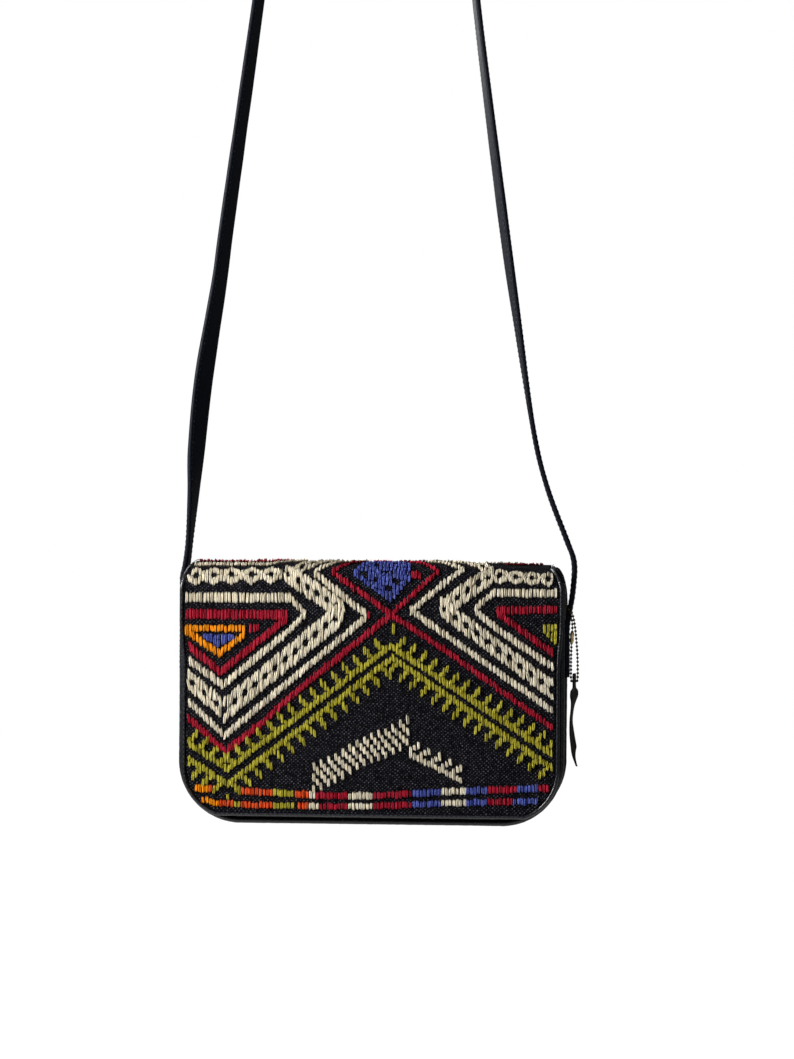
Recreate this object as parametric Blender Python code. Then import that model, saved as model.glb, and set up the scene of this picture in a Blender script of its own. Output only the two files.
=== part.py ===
# Kilim shoulder bag: a boxed leather body closed by a woven flap and hung by one leather strap.
# Metres, +Z up, the front faces -Y. The origin is the middle of the flat underside.

import math

import bmesh
import bpy
from mathutils import Vector

MM = 0.001
GAP = 0.3 * MM              # clearance left between pieces that touch

# Body
BODY_HALF_W = 124.0 * MM    # over the piping
BODY_TOP = 155.0 * MM       # top edge of gusset and front panel
BODY_CORNER = 40.0 * MM     # radius of the two lower corners, outside
PIPING_R = 1.9 * MM
PIPING_SET_IN = 0.1 * MM    # middle of the piping behind the panel's outer face
PANEL_T = 1.8 * MM
PANEL_INNER_Y = 21.2 * MM   # inner face of front and back panel, from the middle
GUSSET_T = 1.8 * MM
GUSSET_INSET = 1.2 * MM     # side gussets lie this far inside the piping
LINING_T = 0.8 * MM
LINING_HALF_D = 20.0 * MM

# Magnetic snap
SNAP_R = 7.0 * MM
SNAP_Z = 48.0 * MM
SNAP_SOCKET_T = 1.8 * MM
SNAP_STUD_T = 0.7 * MM
SNAP_PIN_R = 1.8 * MM
SNAP_PIN_L = 1.1 * MM
SNAP_BORE_R = 3.2 * MM
SNAP_WASHER_T = 0.6 * MM

# Flap: offsets are measured outwards from the woven face
FLAP_FACE_Y = -30.6 * MM    # woven face of the hanging front
FLAP_BOTTOM = 6.4 * MM      # lower edge of the weave
FLAP_HALF_W = 118.3 * MM    # weave, at the front
FLAP_SHOULDER_HALF_W = 120.2 * MM   # where the weave swells out below the fold
FLAP_TOP_HALF_W = 113.4 * MM
FLAP_CORNER = 32.0 * MM
FOLD_R = 18.0 * MM          # of the woven face, where the flap turns over the front edge
FOLD_START = 149.7 * MM     # height at which the front begins to turn
CROWN = math.radians(6.0)   # turn of the flap's top from fold to hinge
KILIM_T = 1.8 * MM
FLAP_LINING_T = 1.2 * MM
FLAP_LINING_OFFSET = -3.0 * MM
BINDING_HALF_W = 1.4 * MM
BINDING_HALF_T = 2.5 * MM
BINDING_OFFSET = -1.6 * MM  # middle of the rolled binding
WELT_R = 2.2 * MM           # roll at the flap's hinge
YARN_T = 0.8 * MM           # how far the pattern yarns stand off the ground weave
YARN_ROOT = 0.6 * MM        # how deep they are woven into it

# Strap
STRAP_W = 18.0 * MM
STRAP_T = 3.0 * MM
STRAP_CHAMFER = 0.7 * MM
STRAP_SEWN = 60.0 * MM      # below the top edge of the gusset
ARCH_R = 56.0 * MM
ARCH_X = -6.3 * MM
ARCH_RISE = 485.0 * MM      # centre of the arch above the gusset's top edge
LEG_LEAN = math.radians(7.5)

# Ball chain and hang tag
BALL_R = 0.78 * MM
BALL_LINK_R = 0.3 * MM
BALL_PITCH = 2.5 * MM
CLASP_R = 1.3 * MM
TAG_W = 12.0 * MM
TAG_T = 1.2 * MM
TAG_HOLE_R = 1.8 * MM
TAG_HEAD = 6.6 * MM         # from the hole's middle to the tag's top
TAG_TIP = 12.0 * MM         # length of the slanting end
TAG_TIP_W = 1.2 * MM
HOLE_DROP = 0.3 * MM        # the hole's middle lies this far below the chain it hangs on

# Worked out from the values above
GUSSET_OUT = BODY_HALF_W - GUSSET_INSET
PIPING_Y = PANEL_INNER_Y + PANEL_T - PIPING_SET_IN
PANEL_OUTER_Y = PANEL_INNER_Y + PANEL_T
PANEL_INSET = 2 * PIPING_R + GAP
GUSSET_HALF_D = PIPING_Y - PIPING_R - GAP


def clear_scene():
    for thing in list(bpy.data.objects):
        bpy.data.objects.remove(thing, do_unlink=True)


def finish(name, colour, roughness, metallic=0.0):
    material = bpy.data.materials.new(name)
    material.use_nodes = True
    shader = material.node_tree.nodes["Principled BSDF"]
    shader.inputs["Base Color"].default_value = (*colour, 1.0)
    shader.inputs["Roughness"].default_value = roughness
    shader.inputs["Metallic"].default_value = metallic
    material.diffuse_color = (*colour, 1.0)
    return material


def solid(name, points, faces, material, smooth=None):
    """One object from points and faces, its faces turned outwards."""
    mesh = bpy.data.meshes.new(name)
    mesh.from_pydata([tuple(p) for p in points], [], faces)
    work = bmesh.new()
    work.from_mesh(mesh)
    bmesh.ops.recalc_face_normals(work, faces=work.faces[:])
    work.to_mesh(mesh)
    work.free()
    if smooth is not None:
        mesh.shade_smooth()
        mesh.set_sharp_from_angle(angle=math.radians(smooth))
    mesh.materials.append(material)
    piece = bpy.data.objects.new(name, mesh)
    bpy.context.scene.collection.objects.link(piece)
    return piece


class Body:
    """Points and faces of one or more closed shapes that make up one piece."""

    def __init__(self):
        self.points = []
        self.faces = []

    def loft(self, rings):
        """Rings of equal count joined in order, both ends capped."""
        start = len(self.points)
        count = len(rings[0])
        for ring in rings:
            self.points.extend(ring)
        for i in range(len(rings) - 1):
            near = start + i * count
            far = near + count
            for j in range(count):
                k = (j + 1) % count
                self.faces.append((near + j, near + k, far + k, far + j))
        self.faces.append(tuple(range(start, start + count)))
        last = start + (len(rings) - 1) * count
        self.faces.append(tuple(range(last, last + count)))

    def make(self, name, material, smooth=None):
        return solid(name, self.points, self.faces, material, smooth)


def lofted(name, rings, material, smooth=None):
    body = Body()
    body.loft(rings)
    return body.make(name, material, smooth)


def u_path(half_w, bottom, top, radius, steps=8):
    """The bag's outline in (x, z): down the left side, round the bottom, up the right side."""
    path = [(-half_w, top)]
    for side, first in ((-1, 180.0), (1, 270.0)):
        centre_x = side * (half_w - radius)
        for i in range(steps + 1):
            turn = math.radians(first + 90.0 * i / steps)
            path.append((centre_x + radius * math.cos(turn), bottom + radius + radius * math.sin(turn)))
    path.append((half_w, top))
    return path


def outward_normals(path):
    """Unit normals in (x, z) that point out of a path that runs down, along and up."""
    normals = []
    for i in range(len(path)):
        x0, z0 = path[max(i - 1, 0)]
        x1, z1 = path[min(i + 1, len(path) - 1)]
        length = math.hypot(x1 - x0, z1 - z0)
        normals.append(((z1 - z0) / length, -(x1 - x0) / length))
    return normals


def plate(name, path, y0, y1, material):
    front = [(x, y0, z) for x, z in path]
    back = [(x, y1, z) for x, z in path]
    return lofted(name, [front, back], material)


def disc_ring(centre, radius, y, sides=20):
    x, z = centre
    turns = [2 * math.pi * i / sides for i in range(sides)]
    return [(x + radius * math.cos(t), y, z + radius * math.sin(t)) for t in turns]


def make_panels(leather):
    half_w = BODY_HALF_W - PANEL_INSET
    radius = BODY_CORNER - PANEL_INSET
    front = u_path(half_w, PANEL_INSET, BODY_TOP, radius)
    plate("front_panel", front, -PANEL_OUTER_Y, -PANEL_INNER_Y, leather)
    back_top = hinge_axis()[1] - WELT_R - GAP
    back = u_path(half_w, PANEL_INSET, back_top, radius)
    plate("back_panel", back, PANEL_INNER_Y, PANEL_OUTER_Y, leather)


def make_gusset(leather):
    """Side, bottom and side in one strip; its underside is the flat face the bag stands on."""
    outer = u_path(GUSSET_OUT, 0.0, BODY_TOP, BODY_CORNER)
    inner = u_path(GUSSET_OUT - GUSSET_T, GUSSET_T, BODY_TOP, BODY_CORNER - GUSSET_T)
    depth = GUSSET_HALF_D
    rings = [[(xo, -depth, zo), (xo, depth, zo), (xi, depth, zi), (xi, -depth, zi)]
             for (xo, zo), (xi, zi) in zip(outer, inner)]
    lofted("gusset", rings, leather, 40)


def make_piping(name, y, leather):
    path = u_path(BODY_HALF_W - PIPING_R, PIPING_R, BODY_TOP, BODY_CORNER - PIPING_R)
    rings = []
    for (x, z), (nx, nz) in zip(path, outward_normals(path)):
        ring = []
        for i in range(8):
            turn = math.tau * i / 8
            out = PIPING_R * math.cos(turn)
            ring.append((x + nx * out, y + PIPING_R * math.sin(turn), z + nz * out))
        rings.append(ring)
    lofted(name, rings, leather, 60)


def make_lining(cloth):
    """A pouch open at the top, just inside the gusset and the panels."""
    inset = GUSSET_T + GAP
    top = BODY_TOP - 0.5 * MM
    outer = u_path(GUSSET_OUT - inset, inset, top, BODY_CORNER - inset)
    wall = inset + LINING_T
    inner = u_path(GUSSET_OUT - wall, wall, top, BODY_CORNER - wall)
    depths = (-LINING_HALF_D, LINING_HALF_D, -LINING_HALF_D + LINING_T, LINING_HALF_D - LINING_T)
    count = len(outer)
    points = []
    for path, y in zip((outer, outer, inner, inner), depths):
        points.extend((x, y, z) for x, z in path)
    a, b, c, d = (i * count for i in range(4))
    last = count - 1
    faces = [tuple(range(start, start + count)) for start in (a, b, c, d)]
    for i in range(last):
        faces.append((a + i, a + i + 1, b + i + 1, b + i))
        faces.append((c + i, c + i + 1, d + i + 1, d + i))
    faces.append((a, b, d, c))
    faces.append((a + last, b + last, d + last, c + last))
    faces.append((a, a + last, c + last, c))
    faces.append((b, b + last, d + last, d))
    solid("lining", points, faces, cloth)


def fold_end():
    """Length along the woven face at which the fold turns into the crowned top."""
    return FOLD_START - FLAP_BOTTOM + FOLD_R * (math.pi / 2 - CROWN / 2)


def crown_radius():
    """Radius of the crowned top, so that the hinge lies over the back panel's middle."""
    fold_y = FLAP_FACE_Y + FOLD_R - FOLD_R * math.sin(CROWN / 2)
    hinge_y = (PANEL_INNER_Y + PANEL_OUTER_Y) / 2
    reach = (WELT_R + GAP) * math.cos(CROWN / 2) + flap_middle() * math.sin(CROWN / 2)
    return (hinge_y - reach - fold_y) / (2 * math.sin(CROWN / 2))


def flap_middle():
    """Offset of the middle of the flap's layers from the woven face."""
    return (FLAP_LINING_OFFSET - FLAP_LINING_T) / 2


def flap_length():
    return fold_end() + crown_radius() * CROWN


def flap_frame(s):
    """Point and outward normal in (y, z) at length s up the woven face from its lower edge."""
    rise = FOLD_START - FLAP_BOTTOM
    if s <= rise:
        return (FLAP_FACE_Y, FLAP_BOTTOM + s), (-1.0, 0.0)
    centre = (FLAP_FACE_Y + FOLD_R, FOLD_START)
    if s <= fold_end():
        turn = (s - rise) / FOLD_R
        normal = (-math.cos(turn), math.sin(turn))
        return (centre[0] + FOLD_R * normal[0], centre[1] + FOLD_R * normal[1]), normal
    turn = math.pi / 2 - CROWN / 2
    start = (-math.cos(turn), math.sin(turn))
    radius = crown_radius()
    centre = (centre[0] + (FOLD_R - radius) * start[0], centre[1] + (FOLD_R - radius) * start[1])
    turn += (s - fold_end()) / radius
    normal = (-math.cos(turn), math.sin(turn))
    return (centre[0] + radius * normal[0], centre[1] + radius * normal[1]), normal


def on_flap(u, s, offset):
    (y, z), (ny, nz) = flap_frame(s)
    return Vector((u, y + ny * offset, z + nz * offset))


def hinge_axis():
    """Point (y, z) on the flap's turning axis, the middle of the welt behind its rear edge."""
    (y, z), (ny, nz) = flap_frame(flap_length())
    middle = flap_middle()
    reach = WELT_R + GAP
    return y + ny * middle + nz * reach, z + nz * middle - ny * reach


def flap_half_width(s):
    """Half width of the weave: it swells out a little below the fold and is drawn in over it."""
    rise = FOLD_START - FLAP_BOTTOM

    def ease(start, end):
        share = min(max((s - start) / (end - start), 0.0), 1.0)
        return share * share * (3 - 2 * share)

    swell = (FLAP_SHOULDER_HALF_W - FLAP_HALF_W) * ease(0.66 * rise, 0.87 * rise)
    drawn_in = (FLAP_SHOULDER_HALF_W - FLAP_TOP_HALF_W) * ease(rise, 0.13 * rise + 0.87 * fold_end())
    return FLAP_HALF_W + swell - drawn_in


def flap_rows():
    """Lengths up the flap at which its sheets bend, above the round corners."""
    rise = FOLD_START - FLAP_BOTTOM
    rows = [rise * share for share in (0.66, 0.76, 0.87, 1.0)]
    rows += [rise + (fold_end() - rise) * i / 8 for i in range(1, 9)]
    rows += [fold_end() + (flap_length() - fold_end()) * i / 3 for i in (1, 2, 3)]
    return rows


def flap_edge(out, steps=7):
    """Right-hand edge (u, s) of the weave, moved outwards by out, from bottom to hinge."""
    radius = FLAP_CORNER + out
    corner = [math.pi / 2 * i / steps for i in range(steps + 1)]
    edge = [(FLAP_HALF_W - FLAP_CORNER + radius * math.sin(t), FLAP_CORNER - radius * math.cos(t))
            for t in corner]
    return edge + [(flap_half_width(s) + out, s) for s in flap_rows()]


def make_flap_sheet(name, outside, thickness, material):
    rings = []
    for half_w, s in flap_edge(0.0):
        inside = outside - thickness
        rings.append([on_flap(-half_w, s, outside), on_flap(half_w, s, outside),
                      on_flap(half_w, s, inside), on_flap(-half_w, s, inside)])
    return lofted(name, rings, material)


def make_binding(leather):
    """Rolled leather round the three free edges of the flap."""
    right = flap_edge(GAP + BINDING_HALF_W)
    route = [(-u, s) for u, s in reversed(right)] + right
    places = [on_flap(u, s, BINDING_OFFSET) for u, s in route]
    rings = []
    for i, (u, s) in enumerate(route):
        along = places[min(i + 1, len(places) - 1)] - places[max(i - 1, 0)]
        ny, nz = flap_frame(s)[1]
        normal = Vector((0.0, ny, nz))
        aside = along.cross(normal).normalized()
        ring = []
        for k in range(10):
            turn = math.tau * k / 10
            ring.append(places[i] + aside * BINDING_HALF_W * math.cos(turn)
                        + normal * BINDING_HALF_T * math.sin(turn))
        rings.append(ring)
    lofted("flap_binding", rings, leather, 60)


def make_welt(leather):
    """Leather roll along the back's top edge, on which the flap turns."""
    y, z = hinge_axis()
    half_w = FLAP_TOP_HALF_W + GAP + 2 * BINDING_HALF_W
    rings = []
    for x in (-half_w, half_w):
        turns = [math.tau * i / 16 for i in range(16)]
        rings.append([(x, y + WELT_R * math.cos(t), z + WELT_R * math.sin(t)) for t in turns])
    lofted("hinge_welt", rings, leather, 60)


def tube_of_rings(name, centre, rings, material):
    """A turned piece with a bore: rings of (radius, y) carried round and closed on themselves."""
    points = []
    faces = []
    sides = 20
    for radius, y in rings:
        points.extend(disc_ring(centre, radius, y, sides))
    count = len(rings)
    for i in range(count):
        near = i * sides
        far = (i + 1) % count * sides
        for j in range(sides):
            k = (j + 1) % sides
            faces.append((near + j, near + k, far + k, far + j))
    solid(name, points, faces, material, 30)


def make_snap(brass, steel):
    """Magnetic snap: socket on the front panel, stud under the flap, a washer behind each."""
    centre = (0.0, SNAP_Z)
    socket_back = -PANEL_OUTER_Y - GAP
    socket_face = socket_back - SNAP_SOCKET_T
    tube_of_rings("snap_socket", centre,
                  [(SNAP_BORE_R, socket_back), (SNAP_R, socket_back),
                   (SNAP_R, socket_face + 0.5 * MM), (SNAP_R - 0.8 * MM, socket_face),
                   (SNAP_BORE_R, socket_face)], brass)
    lining_face = FLAP_FACE_Y - FLAP_LINING_OFFSET + FLAP_LINING_T
    stud_back = lining_face + GAP
    stud_face = stud_back + SNAP_STUD_T
    rings = [disc_ring(centre, SNAP_R, stud_back), disc_ring(centre, SNAP_R, stud_face),
             disc_ring(centre, SNAP_PIN_R, stud_face),
             disc_ring(centre, SNAP_PIN_R - 0.4 * MM, stud_face + SNAP_PIN_L)]
    lofted("snap_stud", rings, brass, 30)
    washer_r = SNAP_R - 1.0 * MM
    inner_washer = -PANEL_INNER_Y + GAP
    lofted("snap_socket_washer",
           [disc_ring(centre, washer_r, inner_washer),
            disc_ring(centre, washer_r, inner_washer + SNAP_WASHER_T)], steel, 30)
    outer_washer = FLAP_FACE_Y - FLAP_LINING_OFFSET - GAP
    lofted("snap_stud_washer",
           [disc_ring(centre, washer_r, outer_washer),
            disc_ring(centre, washer_r, outer_washer - SNAP_WASHER_T)], steel, 30)


def spline(points, per_span):
    """Smooth curve through the points, per_span steps between each two."""
    vectors = [Vector(p) for p in points]
    ends = [vectors[0] * 2 - vectors[1]] + vectors + [vectors[-1] * 2 - vectors[-2]]
    curve = []
    for i in range(1, len(ends) - 2):
        before, start, stop, after = ends[i - 1:i + 3]
        for k in range(per_span):
            t = k / per_span
            curve.append(0.5 * (2 * start + (stop - before) * t
                                + (2 * before - 5 * start + 4 * stop - after) * t * t
                                + (3 * start - before - 3 * stop + after) * t * t * t))
    curve.append(vectors[-1])
    return curve


# Each leg of the strap, from its sewn end up: distance of its inner face outside the gusset,
# height above the gusset's top edge, and how far its inner face turns to the front (degrees).
LEFT_LEG = [(0.3, -27, 0), (0.3, -5, 0), (0.3, 3, 0), (-1.4, 11, 0), (-3.2, 27, 0), (-5.5, 57, 6),
            (-7.4, 87, 16), (-12.0, 133, 20), (-21.6, 194, 15), (-26.4, 232, 14), (-41.8, 345, 11),
            (-51.8, 420, 8), (-58.6, 470, 4)]
RIGHT_LEG = [(0.3, -41, 0), (0.3, -28, 0), (1.9, -17, 0), (3.3, -9, 0), (4.3, 0, 0), (4.8, 10, 0),
             (3.6, 18, 1), (-0.7, 29, 4), (-13.5, 63, 3), (-22.3, 99, 2), (-33.2, 169, 11),
             (-42.4, 232, 16), (-57.3, 345, 12), (-66.1, 420, 8), (-72.0, 470, 3)]


def leg_places(leg, side):
    """(x, z, turn) of the strap's middle line along one leg, from its sewn end."""
    places = [(side * (GUSSET_OUT + GAP + STRAP_T / 2), BODY_TOP - STRAP_SEWN, 0.0)]
    for outset, rise, turn in leg:
        x = side * (GUSSET_OUT + outset * MM + STRAP_T / 2)
        places.append((x, BODY_TOP + rise * MM, turn))
    return places


def strap_route():
    arch = []
    for i in range(9):
        turn = math.pi - LEG_LEAN - (math.pi - 2 * LEG_LEAN) * i / 8
        arch.append((ARCH_X + ARCH_R * math.cos(turn), BODY_TOP + ARCH_RISE + ARCH_R * math.sin(turn), 0.0))
    right = leg_places(RIGHT_LEG, 1)
    return spline(leg_places(LEFT_LEG, -1) + arch + right[::-1], 2)


def make_strap(leather):
    """One flat strap, sewn to both gussets, its inner face turned a little to the front."""
    route = strap_route()
    half_w = STRAP_W / 2
    half_t = STRAP_T / 2
    cut = STRAP_CHAMFER
    section = [(half_w - cut, half_t), (half_w, half_t - cut), (half_w, cut - half_t),
               (half_w - cut, -half_t), (cut - half_w, -half_t), (-half_w, cut - half_t),
               (-half_w, half_t - cut), (cut - half_w, half_t)]
    rings = []
    for i, (x, z, turn) in enumerate(route):
        x0, z0, _ = route[max(i - 1, 0)]
        x1, z1, _ = route[min(i + 1, len(route) - 1)]
        length = math.hypot(x1 - x0, z1 - z0)
        inward = Vector(((z1 - z0) / length, 0.0, -(x1 - x0) / length))
        front = Vector((0.0, -1.0, 0.0))
        turn = math.radians(turn)
        face = inward * math.cos(turn) + front * math.sin(turn)
        across = inward * math.sin(turn) - front * math.cos(turn)
        place = Vector((x, 0.0, z))
        rings.append([place + across * w + face * t for w, t in section])
    lofted("strap", rings, leather, 50)


# The chain goes round the strap's right leg and through the tag: distance outside the gusset,
# depth and height from the gusset's top edge, in millimetres. It starts and ends at its clasp.
CHAIN_ROUTE = [(4.9, -6.0, -38.2), (4.6, -4.3, -47), (4.5, -2.0, -55), (4.5, -0.8, -61),
               (5.1, -0.3, -63.2), (6.6, 0.0, -64), (8.1, 0.3, -63.2), (8.7, 0.8, -61),
               (8.7, 2.2, -55), (8.3, 4.2, -45), (7.3, 6.6, -34), (5.9, 9.2, -24),
               (4.2, 10.4, -18.5), (2.2, 10.4, -15.2), (1.1, 8.4, -14.5), (1.1, 0.0, -14.5),
               (1.1, -8.4, -14.5), (2.2, -10.4, -15.2), (4.2, -10.4, -18.5), (5.4, -9.6, -25),
               (5.4, -8.3, -30.6)]
TAG_PIVOT = (6.6, 0.0, -64.0)


def by_gusset(place):
    """A place given in millimetres from the right gusset's face and top edge, in metres."""
    x, y, z = place
    return Vector((GUSSET_OUT + x * MM, y * MM, BODY_TOP + z * MM))


def even_steps(curve, step):
    """The curve's points again at about equal steps along its length."""
    lengths = [0.0]
    for a, b in zip(curve, curve[1:]):
        lengths.append(lengths[-1] + (b - a).length)
    count = round(lengths[-1] / step)
    places = []
    k = 0
    for i in range(count + 1):
        target = lengths[-1] * i / count
        while k < len(curve) - 2 and lengths[k + 1] < target:
            k += 1
        share = (target - lengths[k]) / (lengths[k + 1] - lengths[k])
        places.append(curve[k].lerp(curve[k + 1], share))
    return places


def make_chain(dark_brass, brass):
    """Balls on a wire as one closed form, its radius swelling at every ball, and its clasp."""
    places = even_steps(spline([by_gusset(p) for p in CHAIN_ROUTE], 6), BALL_PITCH / 4)
    radii = (BALL_LINK_R, BALL_R * 0.8, BALL_R, BALL_R * 0.8)
    side = Vector((0.0, 0.0, 1.0)).cross(places[1] - places[0]).normalized()
    rings = []
    for i, place in enumerate(places):
        along = (places[min(i + 1, len(places) - 1)] - places[max(i - 1, 0)]).normalized()
        side = (side - along * side.dot(along)).normalized()
        up = along.cross(side)
        radius = radii[i % 4]
        rings.append([place + (side * math.cos(t) + up * math.sin(t)) * radius
                      for t in (math.tau * k / 6 for k in range(6))])
    lofted("tag_chain", rings, dark_brass, 80)
    low = places[0]
    high = places[-1]
    axis = (high - low).normalized()
    side = axis.cross(Vector((1.0, 0.0, 0.0))).normalized()
    up = axis.cross(side)
    rings = []
    for height, radius in ((GAP, CLASP_R * 0.7), (GAP + 0.5 * MM, CLASP_R)):
        rings.append([low + axis * height + (side * math.cos(t) + up * math.sin(t)) * radius
                      for t in (math.tau * k / 10 for k in range(10))])
    for height, radius in ((GAP + 0.5 * MM, CLASP_R), (GAP, CLASP_R * 0.7)):
        rings.append([high - axis * height + (side * math.cos(t) + up * math.sin(t)) * radius
                      for t in (math.tau * k / 10 for k in range(10))])
    lofted("chain_clasp", rings, brass, 30)


# Middle line of the tag below its hole: distance outside the gusset, height from the hole's
# middle and turn of its face to the front (degrees).
TAG_LINE = [(6.6, -3.2, 0), (6.1, -9, 18), (4.6, -16, 12), (3.5, -24, 6), (4.0, -32, 10),
            (5.4, -40, 14), (6.2, -46, 14), (7.9, -53, 10)]


def make_tag(leather):
    """A leather fob with a hole at its head and a slanting tip, bowed and slightly twisted."""
    hole = by_gusset(TAG_PIVOT) - Vector((0.0, 0.0, HOLE_DROP))
    half_w = TAG_W / 2
    half_t = TAG_T / 2
    rings = []
    for x, drop, turn in TAG_LINE:
        centre = Vector((GUSSET_OUT + x * MM, 0.0, hole.z + drop * MM))
        turn = math.radians(turn)
        across = Vector((math.sin(turn), math.cos(turn), 0.0))
        face = Vector((math.cos(turn), -math.sin(turn), 0.0))
        tip_share = min((drop - TAG_LINE[-1][1]) * MM / TAG_TIP, 1.0)
        far = TAG_TIP_W + (TAG_W - TAG_TIP_W) * tip_share - half_w
        rings.append([centre + across * w + face * t
                      for w, t in ((-half_w, half_t), (far, half_t), (far, -half_t), (-half_w, -half_t))])
    body = Body()
    body.loft(rings)
    body.faces.remove((0, 1, 2, 3))
    # The head is a round-holed square: its rim and its hole are joined face by face.
    bottom = TAG_LINE[0][1] * MM
    sides = 16
    start = len(body.points)
    rim = []
    for i in range(sides):
        turn = math.tau * (i + 0.5) / sides - math.pi / 2
        reach_y, reach_z = math.cos(turn), math.sin(turn)
        limit_z = TAG_HEAD if reach_z > 0 else -bottom
        scale = min(half_w / max(abs(reach_y), 1e-6), limit_z / max(abs(reach_z), 1e-6))
        rim.append((reach_y * scale, reach_z * scale))
    rim = [(-half_w, bottom), (half_w, bottom)] + [p for p in rim if p[1] > bottom + 1e-6]
    rim = sorted(rim, key=lambda p: (math.atan2(p[0], -p[1])))
    count = len(rim)
    hole_ring = []
    for y, z in rim:
        scale = TAG_HOLE_R / math.hypot(y, z)
        hole_ring.append((y * scale, z * scale))
    for t in (half_t, -half_t):
        for ring in (rim, hole_ring):
            body.points.extend(hole + Vector((t, y, z)) for y, z in ring)
    edges = [start + i * count for i in range(4)]
    low = rim.index((-half_w, bottom)), rim.index((half_w, bottom))
    for i in range(count):
        k = (i + 1) % count
        body.faces.append((edges[0] + i, edges[0] + k, edges[1] + k, edges[1] + i))
        body.faces.append((edges[2] + i, edges[2] + k, edges[3] + k, edges[3] + i))
        body.faces.append((edges[1] + i, edges[1] + k, edges[3] + k, edges[3] + i))
        if {i, k} != set(low):
            body.faces.append((edges[0] + i, edges[0] + k, edges[2] + k, edges[2] + i))
    piece = body.make("hang_tag", leather)
    seam = bmesh.new()
    seam.from_mesh(piece.data)
    bmesh.ops.remove_doubles(seam, verts=seam.verts[:], dist=0.00001)
    bmesh.ops.recalc_face_normals(seam, faces=seam.faces[:])
    seam.to_mesh(piece.data)
    seam.free()


# Woven motifs in millimetres on the flap: sideways from its middle and up its face from the
# lower edge. A stroke is (width, points); the cloth was cut to the flap, so strokes end at it.
STROKES = [
    (5.2, [(-119, 140.5), (-50, 140.5), (-40, 129.8), (-94.5, 85.5), (-119, 104)]),
    (2.8, [(-119, 166), (-50, 166), (-0.6, 129.6), (-43.9, 95.5), (-92.6, 51.6), (-119, 76)]),
    (2.8, [(72, 168), (56.8, 157.8), (27.1, 130.3), (85.1, 87.7), (119, 64)]),
    (5.0, [(119, 143.5), (81.3, 143.5), (69, 132.9), (76.5, 124), (119, 94)]),
    (2.8, [(-27, 20), (23.9, 63.2), (26.5, 57.5)]),
    (2.6, [(24, 41.3), (59.3, 21.3)]),
    (4.8, [(-119, 129.5), (-52, 128.6), (-95.5, 93.2), (-119, 112.5)]),
    (3.2, [(-77, 121.6), (-71.8, 117.8)]),
    (3.6, [(-119, 62), (-91.6, 41.9), (12.9, 129.6), (46.5, 157.5), (28.4, 174)]),
    (3.6, [(9.0, 133.8), (-23.5, 157.2), (2, 174)]),
    (3.6, [(17.0, 126.2), (119, 53.5)]),
    (4.8, [(119, 131.5), (82, 131.0), (119, 103)]),
    (3.4, [(-119, 172.5), (-50, 172.5)]),
    (4.4, [(-119, 119.0), (-82.5, 119.0), (-96.3, 105.0), (-110, 113.4)]),
    (2.4, [(14.8, 117.0), (14.8, 122.2)]),
    (7.0, [(110.5, 118.5), (119, 114)]),
]
EYE_BANDS = [
    [(-119, 153.2), (-52, 153.2), (-21.3, 129.6), (-92.9, 68.4), (-119, 90)],
    [(119, 157.5), (79, 157.5), (43.5, 131.6), (62.6, 119.5), (119, 79.5)],
]
GREEN_LINES = [
    (1, [(-119, 47.5), (-90.9, 27.7), (14.2, 107.7), (119, 38.5)]),
    (-1, [(-119, 38.8), (-90.9, 20), (14.8, 100.3), (119, 27.5)]),
]
PATCHES = [
    [(110.4, -97, -95.8), (115.6, -105.4, -90)],
    [(140.6, 13.4, 14.4), (145, 6.5, 20.5), (150, -1.5, 26.5), (154, -7.8, 31), (158, -10.5, 34),
     (162, -4.5, 30), (166, 3, 25)],
]
FISH_BARBS = [((-25.8 + 6.4 * i, 20.8 + 5.45 * i), 5.4) for i in range(8)]
WING_BARBS = [((31.9 + 6.2 * i, 36.9 - 3.5 * i), 5.0) for i in range(5)]
BORDER_ROWS = [14.8, 6.6]   # heights of the two rows along the lower edge
BORDER_H = 4.6
TOOTH_PITCH = 7.1
TOOTH_L = 5.6
TOOTH_W = 1.9
TOOTH_FOOT = 1.7            # a tooth starts this far from its line's middle
EYE_SPREAD = 3.7            # each pale rail's middle from the middle of its eye band
EYE_RAIL_W = 2.6
EYE_PITCH = 7.6
EYE_TIE_W = 2.2
GREEN_LINE_W = 2.8
BARB_W = 2.0
EDGE_MARGIN = 1.0 * MM      # bare ground between a motif's cut end and the binding


def inside_flap(u, s, margin):
    """True where (u, s), in metres, lies on the weave at least a margin from its edges."""
    limit = flap_half_width(s) - margin
    if s < FLAP_CORNER:
        reach = FLAP_CORNER - margin
        drop = FLAP_CORNER - s
        if drop >= reach:
            return False
        limit = FLAP_HALF_W - FLAP_CORNER + math.sqrt(reach * reach - drop * drop)
    return abs(u) < limit and margin < s < flap_length() - margin


def cut_to_flap(points, margin):
    """The stretch of a stroke that lies on the weave, with its ends moved in to the edge."""
    points = [Vector((u * MM, s * MM)) for u, s in points]
    while len(points) > 1 and not inside_flap(*points[0], margin) and not inside_flap(*points[1], margin):
        points.pop(0)
    while len(points) > 1 and not inside_flap(*points[-1], margin) and not inside_flap(*points[-2], margin):
        points.pop()
    if len(points) < 2:
        return []
    for end, beside in ((0, 1), (-1, -2)):
        if not inside_flap(*points[end], margin):
            out, within = points[end], points[beside]
            for _ in range(20):
                middle = (out + within) / 2
                if inside_flap(*middle, margin):
                    within = middle
                else:
                    out = middle
            points[end] = within
    return points


def fine_steps(points):
    """More points where a stroke climbs over the fold, so that it bends with the cloth."""
    longest = 5.0 * MM
    fold = FOLD_START - FLAP_BOTTOM
    fine = [points[0]]
    for start, stop in zip(points, points[1:]):
        climb = abs(stop.y - start.y) if max(start.y, stop.y) > fold else 0.0
        steps = max(1, math.ceil(climb / longest))
        fine.extend(start.lerp(stop, i / steps) for i in range(1, steps + 1))
    return fine


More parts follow.
